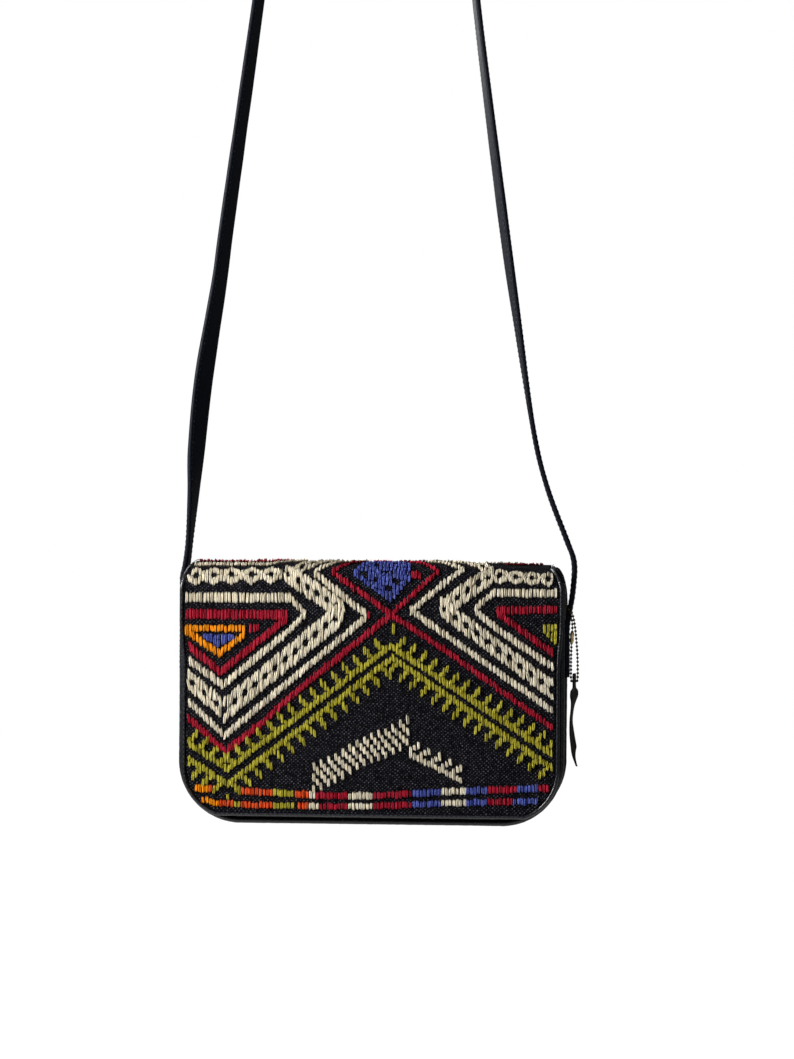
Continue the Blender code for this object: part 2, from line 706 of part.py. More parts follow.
def add_stroke(body, width, points):
    """A flat band of yarn with mitred corners, rooted in the weave and proud of it."""
    points = fine_steps(points)
    rings = []
    for i, point in enumerate(points):
        before = (point - points[i - 1]).normalized() if i > 0 else None
        after = (points[i + 1] - point).normalized() if i < len(points) - 1 else before
        before = before or after
        bisector = (before + after).normalized()
        aside = Vector((-bisector.y, bisector.x))
        reach = width * MM / 2 / max(aside.dot(Vector((-after.y, after.x))), 0.2)
        across = [point + aside * reach * share for share in (-1, 0, 1)]
        rings.append([on_flap(p.x, p.y, -YARN_ROOT) for p in across]
                     + [on_flap(p.x, p.y, YARN_T) for p in reversed(across)])
    body.loft(rings)


def add_cut_strokes(body, strokes):
    for width, points in strokes:
        points = cut_to_flap(points, EDGE_MARGIN + 0.4 * width * MM)
        if points:
            add_stroke(body, width, points)


def shifted(points, aside):
    """A polyline moved sideways by a distance, its corners kept."""
    vectors = [Vector(p) for p in points]
    moved = []
    for i, point in enumerate(vectors):
        before = (point - vectors[i - 1]).normalized() if i > 0 else None
        after = (vectors[i + 1] - point).normalized() if i < len(vectors) - 1 else before
        before = before or after
        bisector = (before + after).normalized()
        normal = Vector((-bisector.y, bisector.x))
        reach = aside / max(normal.dot(Vector((-after.y, after.x))), 0.2)
        moved.append(tuple(point + normal * reach))
    return moved


def add_eye_band(body, points):
    """Two rails with ties between them, which leave dark eyes in a pale band."""
    for aside in (-EYE_SPREAD, EYE_SPREAD):
        add_cut_strokes(body, [(EYE_RAIL_W, shifted(points, aside))])
    for start, stop in zip(points, points[1:]):
        start, stop = Vector(start), Vector(stop)
        along = (stop - start).normalized()
        normal = Vector((-along.y, along.x))
        run = (stop - start).length
        for i in range(1, int(run / EYE_PITCH)):
            middle = start + along * (EYE_PITCH * (i + 0.1))
            half = EYE_SPREAD - EYE_RAIL_W * 0.65
            tie = [tuple(middle - normal * half), tuple(middle + normal * half)]
            if all(inside_flap(u * MM, s * MM, 2 * EDGE_MARGIN) for u, s in tie):
                add_stroke(body, EYE_TIE_W, [Vector(p) * MM for p in tie])


def add_teeth(body, side, points):
    """Short stitches that stand off a green line, like the teeth of a comb."""
    for start, stop in zip(points, points[1:]):
        start, stop = Vector(start), Vector(stop)
        along = (stop - start).normalized()
        count = int(abs(stop.x - start.x) / TOOTH_PITCH)
        for i in range(1, count):
            root = start.lerp(stop, (i + 0.5) / (count + 0.5))
            normal = Vector((-along.y, along.x)) * side
            foot = root + normal * TOOTH_FOOT
            tip = foot + Vector((0.0, side * TOOTH_L))
            ends = [tuple(foot), tuple(tip)]
            if all(inside_flap(u * MM, s * MM, 2 * EDGE_MARGIN) for u, s in ends):
                add_stroke(body, TOOTH_W, [Vector(p) * MM for p in ends])


def add_patch(body, rows):
    """A filled motif, given as rows of (height, left, right) in millimetres."""
    rings = []
    for s, left, right in rows:
        left = left * MM
        right = right * MM
        s = s * MM
        rings.append([on_flap(left, s, -YARN_ROOT), on_flap(right, s, -YARN_ROOT),
                      on_flap(right, s, YARN_T), on_flap(left, s, YARN_T)])
    body.loft(rings)


def add_barbs(body, barbs, sides, lean):
    """Short upright stitches beside a spine, like the bones of a fish."""
    for (u, s), length in barbs:
        for side in sides:
            foot = Vector((u + side * 0.6, s + side * 2.6)) * MM
            tip = foot + Vector((lean, side * length)) * MM
            add_stroke(body, BARB_W, [foot, tip])


def make_kilim(ground):
    """The woven flap in one solid: the ground sheet with the pattern yarns standing on it."""
    sheet = make_flap_sheet("flap_kilim", 0.0, KILIM_T, ground)
    yarns = Body()
    add_cut_strokes(yarns, STROKES)
    add_cut_strokes(yarns, [(BORDER_H, [(-119, s), (119, s)]) for s in BORDER_ROWS])
    for points in EYE_BANDS:
        add_eye_band(yarns, points)
    for side, points in GREEN_LINES:
        add_cut_strokes(yarns, [(GREEN_LINE_W, points)])
        add_teeth(yarns, side, points)
    add_barbs(yarns, FISH_BARBS, (-1, 1), -0.8)
    add_barbs(yarns, WING_BARBS, (1,), 2.0)
    for rows in PATCHES:
        add_patch(yarns, rows)
    relief = yarns.make("pattern_yarns", ground)
    relief.hide_render = True
    relief.display_type = "WIRE"
    union = sheet.modifiers.new("pattern", "BOOLEAN")
    union.operation = "UNION"
    union.solver = "EXACT"
    union.use_self = True
    union.object = relief


def main():
    clear_scene()
    leather = finish("black leather", (0.018, 0.019, 0.022), 0.45)
    strap_leather = finish("strap leather", (0.02, 0.022, 0.028), 0.4)
    tag_leather = finish("tag leather", (0.03, 0.027, 0.022), 0.55)
    inner_leather = finish("flap lining leather", (0.03, 0.028, 0.027), 0.6)
    cloth = finish("lining cloth", (0.05, 0.045, 0.042), 0.9)
    ground = finish("ground weave", (0.016, 0.016, 0.022), 0.95)
    brass = finish("brass", (0.62, 0.5, 0.28), 0.35, 1.0)
    dark_brass = finish("dark brass", (0.12, 0.09, 0.06), 0.35, 1.0)
    steel = finish("plated steel", (0.55, 0.55, 0.55), 0.35, 1.0)
    make_panels(leather)
    make_gusset(leather)
    make_piping("front_piping", -PIPING_Y, leather)
    make_piping("back_piping", PIPING_Y, leather)
    make_lining(cloth)
    make_kilim(ground)
    make_flap_sheet("flap_lining", FLAP_LINING_OFFSET, FLAP_LINING_T, inner_leather)
    make_binding(leather)
    make_welt(leather)
    make_snap(brass, steel)
    make_strap(strap_leather)
    make_chain(dark_brass, brass)
    make_tag(tag_leather)


main()
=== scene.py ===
import math

import bmesh
import bpy
import numpy as np
from mathutils import Matrix, Vector


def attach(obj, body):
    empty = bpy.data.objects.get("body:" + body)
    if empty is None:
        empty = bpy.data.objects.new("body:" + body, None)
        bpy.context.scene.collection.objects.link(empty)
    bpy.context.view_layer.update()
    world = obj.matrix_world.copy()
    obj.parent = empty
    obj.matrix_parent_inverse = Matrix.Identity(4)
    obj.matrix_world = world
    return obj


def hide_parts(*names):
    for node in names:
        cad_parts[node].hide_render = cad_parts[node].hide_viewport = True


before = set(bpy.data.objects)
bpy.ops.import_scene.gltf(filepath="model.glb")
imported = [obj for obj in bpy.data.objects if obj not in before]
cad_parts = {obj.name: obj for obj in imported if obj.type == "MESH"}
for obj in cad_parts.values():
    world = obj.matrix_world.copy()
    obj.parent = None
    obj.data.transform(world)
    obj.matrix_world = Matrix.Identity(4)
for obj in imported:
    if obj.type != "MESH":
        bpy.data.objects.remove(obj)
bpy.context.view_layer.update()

MM = 0.001

# Room. The bag hangs by its strap over a pale floor, under soft lamps: the main one stands near
# the bag, to the left, in front and above, so that the cloth's relief shows.

FLOOR_Z = -0.32
ROOM_HALF_W = 6.0


def feed(node, inputs):
    """Link a node's inputs, by name or number, to sockets, or set them to numbers or colours."""
    for socket, value in dict(inputs).items():
        if isinstance(value, bpy.types.NodeSocket):
            node.id_data.links.new(value, node.inputs[socket])
        else:
            node.inputs[socket].default_value = value
    return node


def add(tree, kind, inputs=(), **settings):
    """A new shader node with these settings and inputs."""
    node = tree.nodes.new("ShaderNode" + kind)
    for setting, value in settings.items():
        setattr(node, setting, value)
    return feed(node, inputs)


def calc(operation, *values):
    """The result of a Math node, put in the tree that the sockets among its values belong to."""
    tree = next(value.id_data for value in values if isinstance(value, bpy.types.NodeSocket))
    return add(tree, "Math", enumerate(values), operation=operation).outputs[0]


def material_nodes(name, constants):
    """A new material, its node tree and its shader, with what is the same all over it set."""
    material = bpy.data.materials.new(name)
    material.use_nodes = True
    tree = material.node_tree
    return material, tree, feed(tree.nodes["Principled BSDF"], constants)


def put(name, data):
    """An object of the scene that holds this mesh, lamp or camera."""
    holder = bpy.data.objects.new(name, data)
    bpy.context.scene.collection.objects.link(holder)
    return holder


# The floor's paper stays white to the camera, and a little in reflections, but for its shadow.
PAPER_WHITE = 1.1
PAPER_SHADOW = 0.08
PAPER_MIRRORED = 0.08

floor_paper, tree, paper = material_nodes(
    "floor paper", {"Base Color": (0.7, 0.7, 0.7, 1), "Roughness": 0.9, "Specular IOR Level": 0.0})
white = add(tree, "Emission", {"Color": (1, 1, 1, 1), "Strength": PAPER_WHITE})
rays = add(tree, "LightPath").outputs
seen = calc("MULTIPLY_ADD", rays["Is Glossy Ray"], PAPER_MIRRORED, rays["Is Camera Ray"])
mix = add(tree, "MixShader", {0: calc("MULTIPLY", seen, 1 - PAPER_SHADOW), 1: paper.outputs[0],
                              2: white.outputs[0]})
feed(tree.nodes["Material Output"], {"Surface": mix.outputs[0]})

floor_mesh = bpy.data.meshes.new("floor")
floor_mesh.from_pydata([(x * ROOM_HALF_W, y * ROOM_HALF_W, FLOOR_Z)
                        for x, y in ((-1, -1), (1, -1), (1, 1), (-1, 1))], [], [(0, 1, 2, 3)])
floor_mesh.materials.append(floor_paper)
put("floor", floor_mesh)

# The world is white to the camera too. In reflections it is dim, and a little paler to the left and
# behind, by a ramp along y less eight times x.
SKY_STRENGTH = 0.08
LEFTWARDS = -8.0
PALER_FROM, PALER_TO, PALER_MOST = 0.3, 1.5, 0.12

world = bpy.data.worlds.new("studio")
bpy.context.scene.world = world
world.use_nodes = True
tree = world.node_tree
sky = feed(tree.nodes["Background"], {"Color": (0.94, 0.97, 1.0, 1), "Strength": SKY_STRENGTH})
backdrop = add(tree, "Background", {"Color": (1, 1, 1, 1), "Strength": 1.0})
rays = add(tree, "LightPath").outputs
way = add(tree, "SeparateXYZ", {0: add(tree, "TexCoord").outputs["Generated"]}).outputs
behind = add(tree, "MapRange", {"Value": calc("MULTIPLY_ADD", way["X"], LEFTWARDS, way["Y"]),
                                "From Min": PALER_FROM, "From Max": PALER_TO, "To Max": PALER_MOST})
direct = calc("MAXIMUM", rays["Is Camera Ray"], rays["Is Transmission Ray"])
shown = calc("MULTIPLY_ADD", rays["Is Glossy Ray"], behind.outputs["Result"], direct)
mix = add(tree, "MixShader", {0: shown, 1: sky.outputs[0], 2: backdrop.outputs[0]})
feed(tree.nodes["World Output"], {"Surface": mix.outputs[0]})


def soft_lamp(name, place, aim_z, size, power, colour=(1.0, 1.0, 1.0)):
    """A rectangular lamp at a place, turned to the bag's middle line at the given height."""
    lamp = bpy.data.lights.new(name, "AREA")
    lamp.shape = "RECTANGLE"
    lamp.size, lamp.size_y = size
    lamp.energy = power
    lamp.color = colour
    holder = put(name, lamp)
    holder.location = place
    holder.rotation_euler = (Vector((0, 0, aim_z)) - Vector(place)).to_track_quat("-Z", "Y").to_euler()


soft_lamp("left_softbox", (-0.80, -0.52, 0.52), 0.13, (0.34, 0.34), 20.5, (1.0, 0.985, 0.96))
soft_lamp("front_softbox", (0.5, -2.0, 1.3), 0.15, (0.8, 0.5), 8)
soft_lamp("rear_softbox", (-0.9, 1.4, 1.1), 0.2, (1.0, 1.0), 14)

# Camera: a little to the right of the bag's front and almost level, with a long lens. It is set
# by how many millimetres one pixel of a 794 x 1059 frame covers at the bag.
CAMERA_AZIMUTH = math.radians(5.0)
CAMERA_ELEVATION = math.radians(2.5)
CAMERA_ROLL = math.radians(0.37)
CAMERA_REACH = 2.5
PIXEL = 0.648 * MM
FRAME_W, FRAME_H = 794, 1059
BAG_PX = (375.3, 667.3)     # where the point 100 mm above the bag's underside lies in the frame
SENSOR = 36.0

back = Vector((math.sin(CAMERA_AZIMUTH) * math.cos(CAMERA_ELEVATION),
               -math.cos(CAMERA_AZIMUTH) * math.cos(CAMERA_ELEVATION), math.sin(CAMERA_ELEVATION)))
right = Vector((math.cos(CAMERA_AZIMUTH), math.sin(CAMERA_AZIMUTH), 0.0))
up = back.cross(right)
bag_point = Vector((0.0, 0.0, 0.1))
camera_data = bpy.data.cameras.new("camera")
camera_data.sensor_width = SENSOR
camera_data.lens = SENSOR * CAMERA_REACH / (FRAME_H * PIXEL)
camera = put("camera", camera_data)
camera.location = bag_point + back * CAMERA_REACH
aim = (bag_point + right * (FRAME_W / 2 - BAG_PX[0]) * PIXEL
       + up * (BAG_PX[1] - FRAME_H / 2) * PIXEL)
look = (aim - camera.location).to_track_quat("-Z", "Y")
camera.rotation_mode = "QUATERNION"
camera.rotation_quaternion = look @ Matrix.Rotation(CAMERA_ROLL, 4, "Z").to_quaternion()
bpy.context.scene.camera = camera
bpy.context.scene.view_settings.view_transform = "Standard"

# Gusset: one strip of black leather that makes both sides and the bottom of the box. It is
# cut 41 mm wide, and its long edges are sewn into the piped seams.

BODY_HALF_W = 124.0 * MM
BODY_TOP = 155.0 * MM
BODY_CORNER = 40.0 * MM
GUSSET_OUT = 122.8 * MM
GUSSET_HALF_D = 20.7 * MM
GUSSET_T = 1.8 * MM
GUSSET_BOW, GUSSET_PUCKER = 0.7 * MM, 0.22 * MM


def skin(name, rings, material, facts=None, smooth=60.0, looped=False):
    """One piece made of closed skins over rings of points.

    rings is (pieces, rows, columns, 3): row i is joined to row i + 1 and the last column to the
    first. The first and last row of each are closed by a flat end, or joined where the rows are
    looped. facts holds named vectors for the points, of the same shape.
    """
    index = np.arange(rings[..., 0].size).reshape(rings.shape[:3])
    near, far = (index, np.roll(index, -1, 1)) if looped else (index[:, :-1], index[:, 1:])
    quads = np.stack([near, np.roll(near, -1, 2), np.roll(far, -1, 2), far], -1).reshape(-1, 4)
    ends = [] if looped else [*index[:, 0].tolist(), *index[:, -1].tolist()]
    mesh = bpy.data.meshes.new(name)
    mesh.from_pydata(rings.reshape(-1, 3), [], quads.tolist() + ends)
    for fact, values in (facts or {}).items():
        attribute = mesh.attributes.new(fact, "FLOAT_VECTOR", "POINT")
        attribute.data.foreach_set("vector", values.astype(np.float32).ravel())
    work = bmesh.new()
    work.from_mesh(mesh)
    bmesh.ops.recalc_face_normals(work, faces=work.faces[:])
    work.to_mesh(mesh)
    work.free()
    mesh.shade_smooth()
    mesh.set_sharp_from_angle(angle=math.radians(smooth))
    mesh.materials.append(material)
    return put(name, mesh)


def fasten(piece, body, node=None):
    """The piece moves with a body, and may stand for a solid of the frame, which is then hidden."""
    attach(piece, body)
    if node:
        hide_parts(node)


def unit(vectors):
    """The vectors, each divided by its length."""
    return vectors / np.linalg.norm(vectors, axis=-1, keepdims=True)


def bag_outline(half_w, bottom, top, radius, step=1.5 * MM):
    """Points (x, z) and outward normals of the bag's outline at even steps.

    It runs straight down the left side, round a quarter circle, along the bottom, round the
    other quarter circle and up the right side.
    """
    side = top - bottom - radius
    arc = radius * math.pi / 2
    base = 2 * (half_w - radius)
    length = 2 * side + 2 * arc + base
    t = np.linspace(0, length, round(length / step) + 1)
    turn_1 = np.clip((t - side) / radius, 0, math.pi / 2)
    turn_2 = np.clip((t - side - arc - base) / radius, 0, math.pi / 2)
    angle = math.pi + turn_1 + turn_2
    x = (-half_w + radius * (1 - np.cos(turn_1)) + np.clip(t - side - arc, 0, base)
         + radius * np.sin(turn_2))
    z = (top - np.clip(t, 0, side) - radius * np.sin(turn_1) + radius * (1 - np.cos(turn_2))
         + np.clip(t - side - 2 * arc - base, 0, side))
    return np.stack([x, z], -1), np.stack([np.cos(angle), np.sin(angle)], -1), t


def noise_1d(t, wavelength, seed):
    """Smooth random wave along t: a sum of sines with seeded phases, from about -1 to 1."""
    rng = np.random.default_rng(seed)
    wave = sum(np.sin(2 * math.pi * t / (wavelength * k) + rng.uniform(0, 6.28))
               for k in (1.0, 1.37, 1.93, 2.71))
    return wave / 2.6


def shader_group(name, vectors, numbers, results):
    """An empty node group with inputs for vectors and for numbers, each with its usual value, and
    outputs for numbers. It comes with its inputs and the node that takes its results."""
    group = bpy.data.node_groups.new(name, "ShaderNodeTree")
    for label in vectors:
        group.interface.new_socket(label, in_out="INPUT", socket_type="NodeSocketVector")
    for label, usual in numbers.items():
        socket = group.interface.new_socket(label, in_out="INPUT", socket_type="NodeSocketFloat")
        socket.default_value = usual
    for label in results:
        group.interface.new_socket(label, in_out="OUTPUT", socket_type="NodeSocketFloat")
    return group, group.nodes.new("NodeGroupInput").outputs, group.nodes.new("NodeGroupOutput")


def noise(vector, scale, detail, roughness=0.55):
    """Noise at a vector, in the vector's own tree."""
    return add(vector.id_data, "TexNoise", {"Vector": vector, "Scale": scale, "Detail": detail,
                                            "Roughness": roughness}).outputs["Fac"]


def leather_grain_group():
    """Grain of smooth leather: fine pebbles with creases between them, and slow cloudy tone."""
    group, given, result = shader_group("leather_grain", ["Vector"], {"Pebbles Per Metre": 900.0},
                                        ["Height", "Cloud", "Rub"])
    vector = given["Vector"]
    pebbles = add(group, "TexVoronoi", {"Vector": vector, "Scale": given["Pebbles Per Metre"]},
                  feature="DISTANCE_TO_EDGE")
    crease = calc("MINIMUM", calc("MULTIPLY", pebbles.outputs["Distance"], 3.0), 1.0)
    pores = calc("MULTIPLY", noise(vector, 2600.0, 2.0), 0.35)
    folds = calc("MULTIPLY", noise(vector, 120.0, 4.0), 0.9)
    rub = calc("MULTIPLY", calc("SUBTRACT", noise(vector, 260.0, 6.0, 0.75), 0.56), 6.0)
    feed(result, {"Height": calc("ADD", calc("MULTIPLY_ADD", crease, 0.55, pores), folds),
                  "Cloud": noise(vector, 35.0, 5.0, 0.6),
                  "Rub": calc("MAXIMUM", calc("MINIMUM", rub, 1.0), 0.0)})
    return group


LEATHER_GRAIN = leather_grain_group()


def between(share, low, high):
    """A colour that goes from low to high, each a colour or a socket, as the share goes to 1."""
    low, high = ((*tone, 1) if isinstance(tone, tuple) else tone for tone in (low, high))
    return add(share.id_data, "Mix", {"Factor": share, "A": low, "B": high},
               data_type="RGBA").outputs["Result"]


def emboss(shader, height, strength, depth):
    """Let the shader's normal follow a height by a Bump node."""
    bump = add(shader.id_data, "Bump", {"Height": height, "Strength": strength, "Distance": depth})
    feed(shader, {"Normal": bump.outputs["Normal"]})


def leather(name, dark, pale, roughness, pebbles=900.0, bump=0.35, rubbed=0.25, gloss=0.3):
    """Dyed leather: two tones in slow clouds, a fine grain, and duller rubbed flecks."""
    material, tree, shader = material_nodes(name, {"Specular IOR Level": gloss})
    grain = add(tree, "Group", {"Vector": add(tree, "TexCoord").outputs["Object"],
                                "Pebbles Per Metre": pebbles}, node_tree=LEATHER_GRAIN).outputs
    dull = calc("MULTIPLY_ADD", grain["Rub"], 0.12, roughness)
    tone = calc("MULTIPLY_ADD", grain["Rub"], rubbed, grain["Cloud"])
    feed(shader, {"Base Color": between(tone, dark, pale),
                  "Roughness": calc("MULTIPLY_ADD", grain["Cloud"], 0.1, dull)})
    emboss(shader, grain["Height"], bump, 0.25 * MM)
    return material


BLACK_LEATHER = leather("black leather", (0.0012, 0.0015, 0.0026), (0.0044, 0.0052, 0.0086), 0.20,
                        gloss=0.5)


def both_faces(outer, inner):
    """Closed rings: each row of the outer face, then the inner face's row backwards."""
    return np.concatenate([outer, inner[:, ::-1]], 1)


def gusset_rings():
    """Rings round the strip's cross-section at each step of the bag's outline.

    The outer face bows in by a sine of its depth, dies away on the flat bottom, and puckers
    a little where the seams hold it. The corners of the strip are rounded.
    """
    outer, normal, t = bag_outline(GUSSET_OUT, 0.0, BODY_TOP, BODY_CORNER)
    across = np.linspace(-1, 1, 25)
    depth = GUSSET_HALF_D * across
    side = np.abs(normal[:, 0])[:, None]
    bow = GUSSET_BOW * (1 - across ** 2) ** 2 * (0.5 + 0.5 * noise_1d(t, 90 * MM, 3))[:, None]
    pucker = GUSSET_PUCKER * np.abs(across) ** 6 * (0.5 + 0.5 * noise_1d(t, 5.5 * MM, 4))[:, None]
    lift = -side * (bow + pucker)
    faces = []
    for off in (lift, 0.6 * lift - GUSSET_T):
        xz = outer[:, None] + normal[:, None] * off[..., None]
        faces.append(np.stack([xz[..., 0], depth + 0 * off, xz[..., 1]], -1))
    return both_faces(*faces)


gusset = skin("gusset_leather", gusset_rings()[None], BLACK_LEATHER, smooth=50)
fasten(gusset, "bag", "gusset")

# Panels: the front and back of the box, each one piece of black leather, sewn to the gusset in
# the piped seams. Both are a little fuller in the middle than at the seams.

PANEL_INNER_Y = 21.2 * MM
PANEL_T = 1.8 * MM
PANEL_INSET = 4.1 * MM
PANEL_ROUND = 10 * MM
FRONT_FULL, FRONT_SHOULDER = 0.5 * MM, 1.0 * MM
BACK_FULL, BACK_SHOULDER = 1.6 * MM, 7.0 * MM
HINGE_Y, HINGE_Z = 22.1 * MM, 165.447 * MM
WELT_R, WELT_GAP = 2.2 * MM, 0.3 * MM
SAG_DEPTH, SAG_FROM, SAG_RUN = 2.6 * MM, 55 * MM, 62 * MM


def smooth_step(x):
    """A step from 0 to 1 as x goes from 0 to 1: 3 x squared less 2 x cubed."""
    x = np.clip(x, 0, 1)
    return x ** 2 * (3 - 2 * x)


def sag(x):
    """How far the bag's top edge sinks towards its right end, by a smooth step."""
    return SAG_DEPTH * smooth_step((x - SAG_FROM) / SAG_RUN)


def panel_rings(y_in, top, fullness, shoulder):
    """Closed rings at each height: the outer face from left to right and the inner one back.

    The half width follows the rounded lower corners, and the outer face stands out by the
    fullness times a cosine across and a sine up, roots taken so that it is flat in the middle.
    """
    half_w = BODY_HALF_W - PANEL_INSET
    radius = BODY_CORNER - PANEL_INSET
    low = PANEL_INSET
    rise = np.concatenate([radius * (1 - np.cos(np.linspace(0, math.pi / 2, 16))),
                           np.linspace(radius, top - low - PANEL_ROUND, 36)[1:],
                           top - low - PANEL_ROUND * np.cos(np.linspace(0, math.pi / 2, 12))[1:]])
    drop = np.clip(radius - rise, 0, radius)
    width = half_w - radius + np.sqrt(np.maximum(radius ** 2 - drop ** 2, 0))
    above = np.clip(rise - (top - low - shoulder), 0, shoulder)
    width = width - shoulder + np.sqrt(shoulder ** 2 - 0.98 * above ** 2)
    across = np.linspace(-1, 1, 61)
    x = width[:, None] * across
    up_share = rise / (top - low)
    sinks = np.clip(up_share * 4 - 3, 0, 1)[:, None]
    full = fullness * np.sqrt(np.maximum(np.cos(across * math.pi / 2), 0))
    full = full * np.sqrt(np.maximum(np.sin(up_share * math.pi), 0))[:, None]
    z = (low + rise)[:, None] - 0.5 * sag(x) * sinks
    side = math.copysign(1.0, y_in)
    return both_faces(np.stack([x, y_in + side * (PANEL_T + full), z], -1),
                      np.stack([x, y_in + side * (full * 0.5 + 0 * x), z], -1))


for node, *sizes in (
        ("front_panel", -PANEL_INNER_Y, BODY_TOP, FRONT_FULL, FRONT_SHOULDER),
        ("back_panel", PANEL_INNER_Y, HINGE_Z - WELT_R - WELT_GAP, BACK_FULL, BACK_SHOULDER)):
    panel = skin(node + "_leather", panel_rings(*sizes)[None], BLACK_LEATHER)
    fasten(panel, "bag", node)

# Piping: a cord wrapped in thin black leather and caught in each of the two seams. The leather
# puckers round the corners and shows the odd join.

PIPING_R = 1.9 * MM
PIPING_Y = 22.9 * MM
PIPING_STEP = 1.0 * MM
BEND_IN, BEND_RISE, BEND_FROM = 7.0 * MM, 22.0 * MM, 142.0 * MM
BEND_TURN = np.linspace(0.04, 1.35, 28)


def circle(sides):
    """Cosine and sine of even steps round a full turn."""
    turn = np.linspace(0, 2 * math.pi, sides, endpoint=False)
    return np.cos(turn), np.sin(turn)


def ring_round(side, other, sides):
    """Round each place: one direction times cosine and the other times sine, at even steps."""
    cosine, sine = circle(sides)
    return side[..., None, :] * cosine[:, None] + other[..., None, :] * sine[:, None]


def tube_rings(path, radius, sides, first_side, round_ends=True):
    """Rings of a round cord along a path: radius times (cosine, sine) in the plane across it.

    path is (n, 3), radius one number for each point, and first_side the direction from which
    the turn round the cord is counted. Half-round ends are drawn in over a radius.
    """
    along = unit(np.gradient(path, axis=0))
    side = unit(first_side - along * (first_side * along).sum(-1, keepdims=True))
    other = np.cross(along, side)
    ring = ring_round(side, other, sides)
    rings = path[:, None] + ring * np.asarray(radius)[:, None, None]
    if round_ends:
        ends = []
        for place, to in ((0, -1), (-1, 1)):
            tip = [path[place] + along[place] * to * radius[place] * math.sin(a)
                   + ring[place] * radius[place] * math.cos(a) for a in (1.35, 1.0, 0.55)]
            ends.append(np.array(tip if to < 0 else tip[::-1]))
        rings = np.concatenate([ends[0], rings, ends[1]])
    return rings


def piping_rings(y, seed, bent):
    """A cord along the bag's outline whose radius swells and puckers in a smooth random wave.

    Where it is bent, over the back's top corners, it turns in by most of an ellipse's quarter.
    """
    top = BEND_FROM if bent else BODY_TOP - 1 * MM
    outline, normal, t = bag_outline(BODY_HALF_W - PIPING_R, PIPING_R, top,
                                     BODY_CORNER - PIPING_R, PIPING_STEP)
    if bent:
        cosine, sine = np.cos(BEND_TURN), np.sin(BEND_TURN)
        curve = np.stack([BEND_IN * (cosine - 1), BEND_RISE * sine], -1)
        out = unit(np.stack([BEND_RISE * cosine, BEND_IN * sine], -1))
        outline = np.concatenate([(curve * (-1, 1) + outline[0])[::-1], outline, curve + outline[-1]])
        normal = np.concatenate([(out * (-1, 1))[::-1], normal, out])
        t = np.arange(len(outline)) * PIPING_STEP
    path, across = (np.stack([line[:, 0], base + 0 * t, line[:, 1]], -1)
                    for line, base in ((outline, y), (normal, 0)))
    pucker = 0.025 * noise_1d(t, 4.5 * MM, seed) + 0.03 * noise_1d(t, 60 * MM, seed + 1)
    return tube_rings(path, PIPING_R * (1 + pucker), 14, across)


for node, y, seed, bent in (("front_piping", -PIPING_Y, 11, False), ("back_piping", PIPING_Y, 15, True)):
    piping = skin(node + "_leather", piping_rings(y, seed, bent)[None], BLACK_LEATHER)
    fasten(piping, "bag", node)

# Lining: a pouch of plain dark cotton that hangs inside the box, fixed in its top edges, and is
# seen only with the flap raised. The frame's own solid has its shape and gets the cotton here.


def weave_group():
    """Plain weave: threads that pass over and under each other in a chequered lattice.

    In units of one thread each way the height is sine times sine, raised where a thread lies
    on top and lower where it dips, and wobbled by noise so that no two threads are the same.
    """
    group, given, result = shader_group(
        "plain_weave", ["Vector"], {"Across": 1.0, "Up": 1.0, "Wobble": 0.25}, ["Height", "Thread"])
    vector = given["Vector"]
    place = add(group, "SeparateXYZ", {0: vector}).outputs
    shake = calc("MULTIPLY_ADD", noise(vector, 0.12, 2.0), 3.0, noise(vector, 0.9, 2.0))
    shake = calc("MULTIPLY", calc("SUBTRACT", shake, 2.0), given["Wobble"])
    x, y = (calc("ADD", calc("DIVIDE", place[axis], given[size]), shake)
            for axis, size in (("X", "Across"), ("Y", "Up")))
    wave = calc("MULTIPLY", *(calc("SINE", calc("MULTIPLY", way, math.pi)) for way in (x, y)))
    under = calc("MAXIMUM", calc("MULTIPLY", wave, -0.3), 0.0)
    over = calc("MAXIMUM", wave, 0.0)
    cell = add(group, "CombineXYZ", {0: calc("FLOOR", x), 1: calc("FLOOR", y)})
    each = add(group, "TexWhiteNoise", {"Vector": cell.outputs[0]}, noise_dimensions="2D")
    feed(result, {"Height": calc("SQRT", calc("MAXIMUM", over, under)),
                  "Thread": each.outputs["Value"]})
    return group


PLAIN_WEAVE = weave_group()


def woven_cloth(name, gap, thread, high, across, up, wobble, depth, vector_from):
    """Woven cloth: painted shade in the gaps between threads, threads between two tones, and a bump of
    the same weave.
    """
    material, tree, shader = material_nodes(name, {"Roughness": 0.95, "Specular IOR Level": 0.02})
    vector = vector_from(tree)
    weave = add(tree, "Group", {"Vector": vector, "Across": across, "Up": up, "Wobble": wobble},
                node_tree=PLAIN_WEAVE).outputs
    fleck = calc("MULTIPLY", weave["Thread"], noise(vector, 2.2, 3.0, 0.7))
    threads = between(calc("MULTIPLY", fleck, 1.9), thread, high)
    # Painted shade: where the weave is low, between the threads, the colour goes to the gap colour.
    feed(shader, {"Base Color": between(calc("POWER", weave["Height"], 3.2), gap, threads)})
    fibres = noise(vector, 5.0, 3.0, 0.7)
    emboss(shader, calc("MULTIPLY_ADD", fibres, 0.3, weave["Height"]), 0.9, depth)
    return material


def object_millimetres(tree):
    """Object coordinates in millimetres, x and z of the upright cloth as its two directions."""
    place = add(tree, "SeparateXYZ", {0: add(tree, "TexCoord").outputs["Object"]}).outputs
    return add(tree, "CombineXYZ", enumerate(calc("MULTIPLY", place[axis], 1000.0)
                                             for axis in "XZY")).outputs[0]


# The lining's first colour is painted shade between its threads.
LINING_CLOTH = woven_cloth("lining cotton", (0.01, 0.009, 0.009), (0.045, 0.04, 0.038),
                           (0.075, 0.068, 0.062), 0.55, 0.5, 0.1, 0.12 * MM, object_millimetres)
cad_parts["lining"].data.materials.clear()
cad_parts["lining"].data.materials.append(LINING_CLOTH)

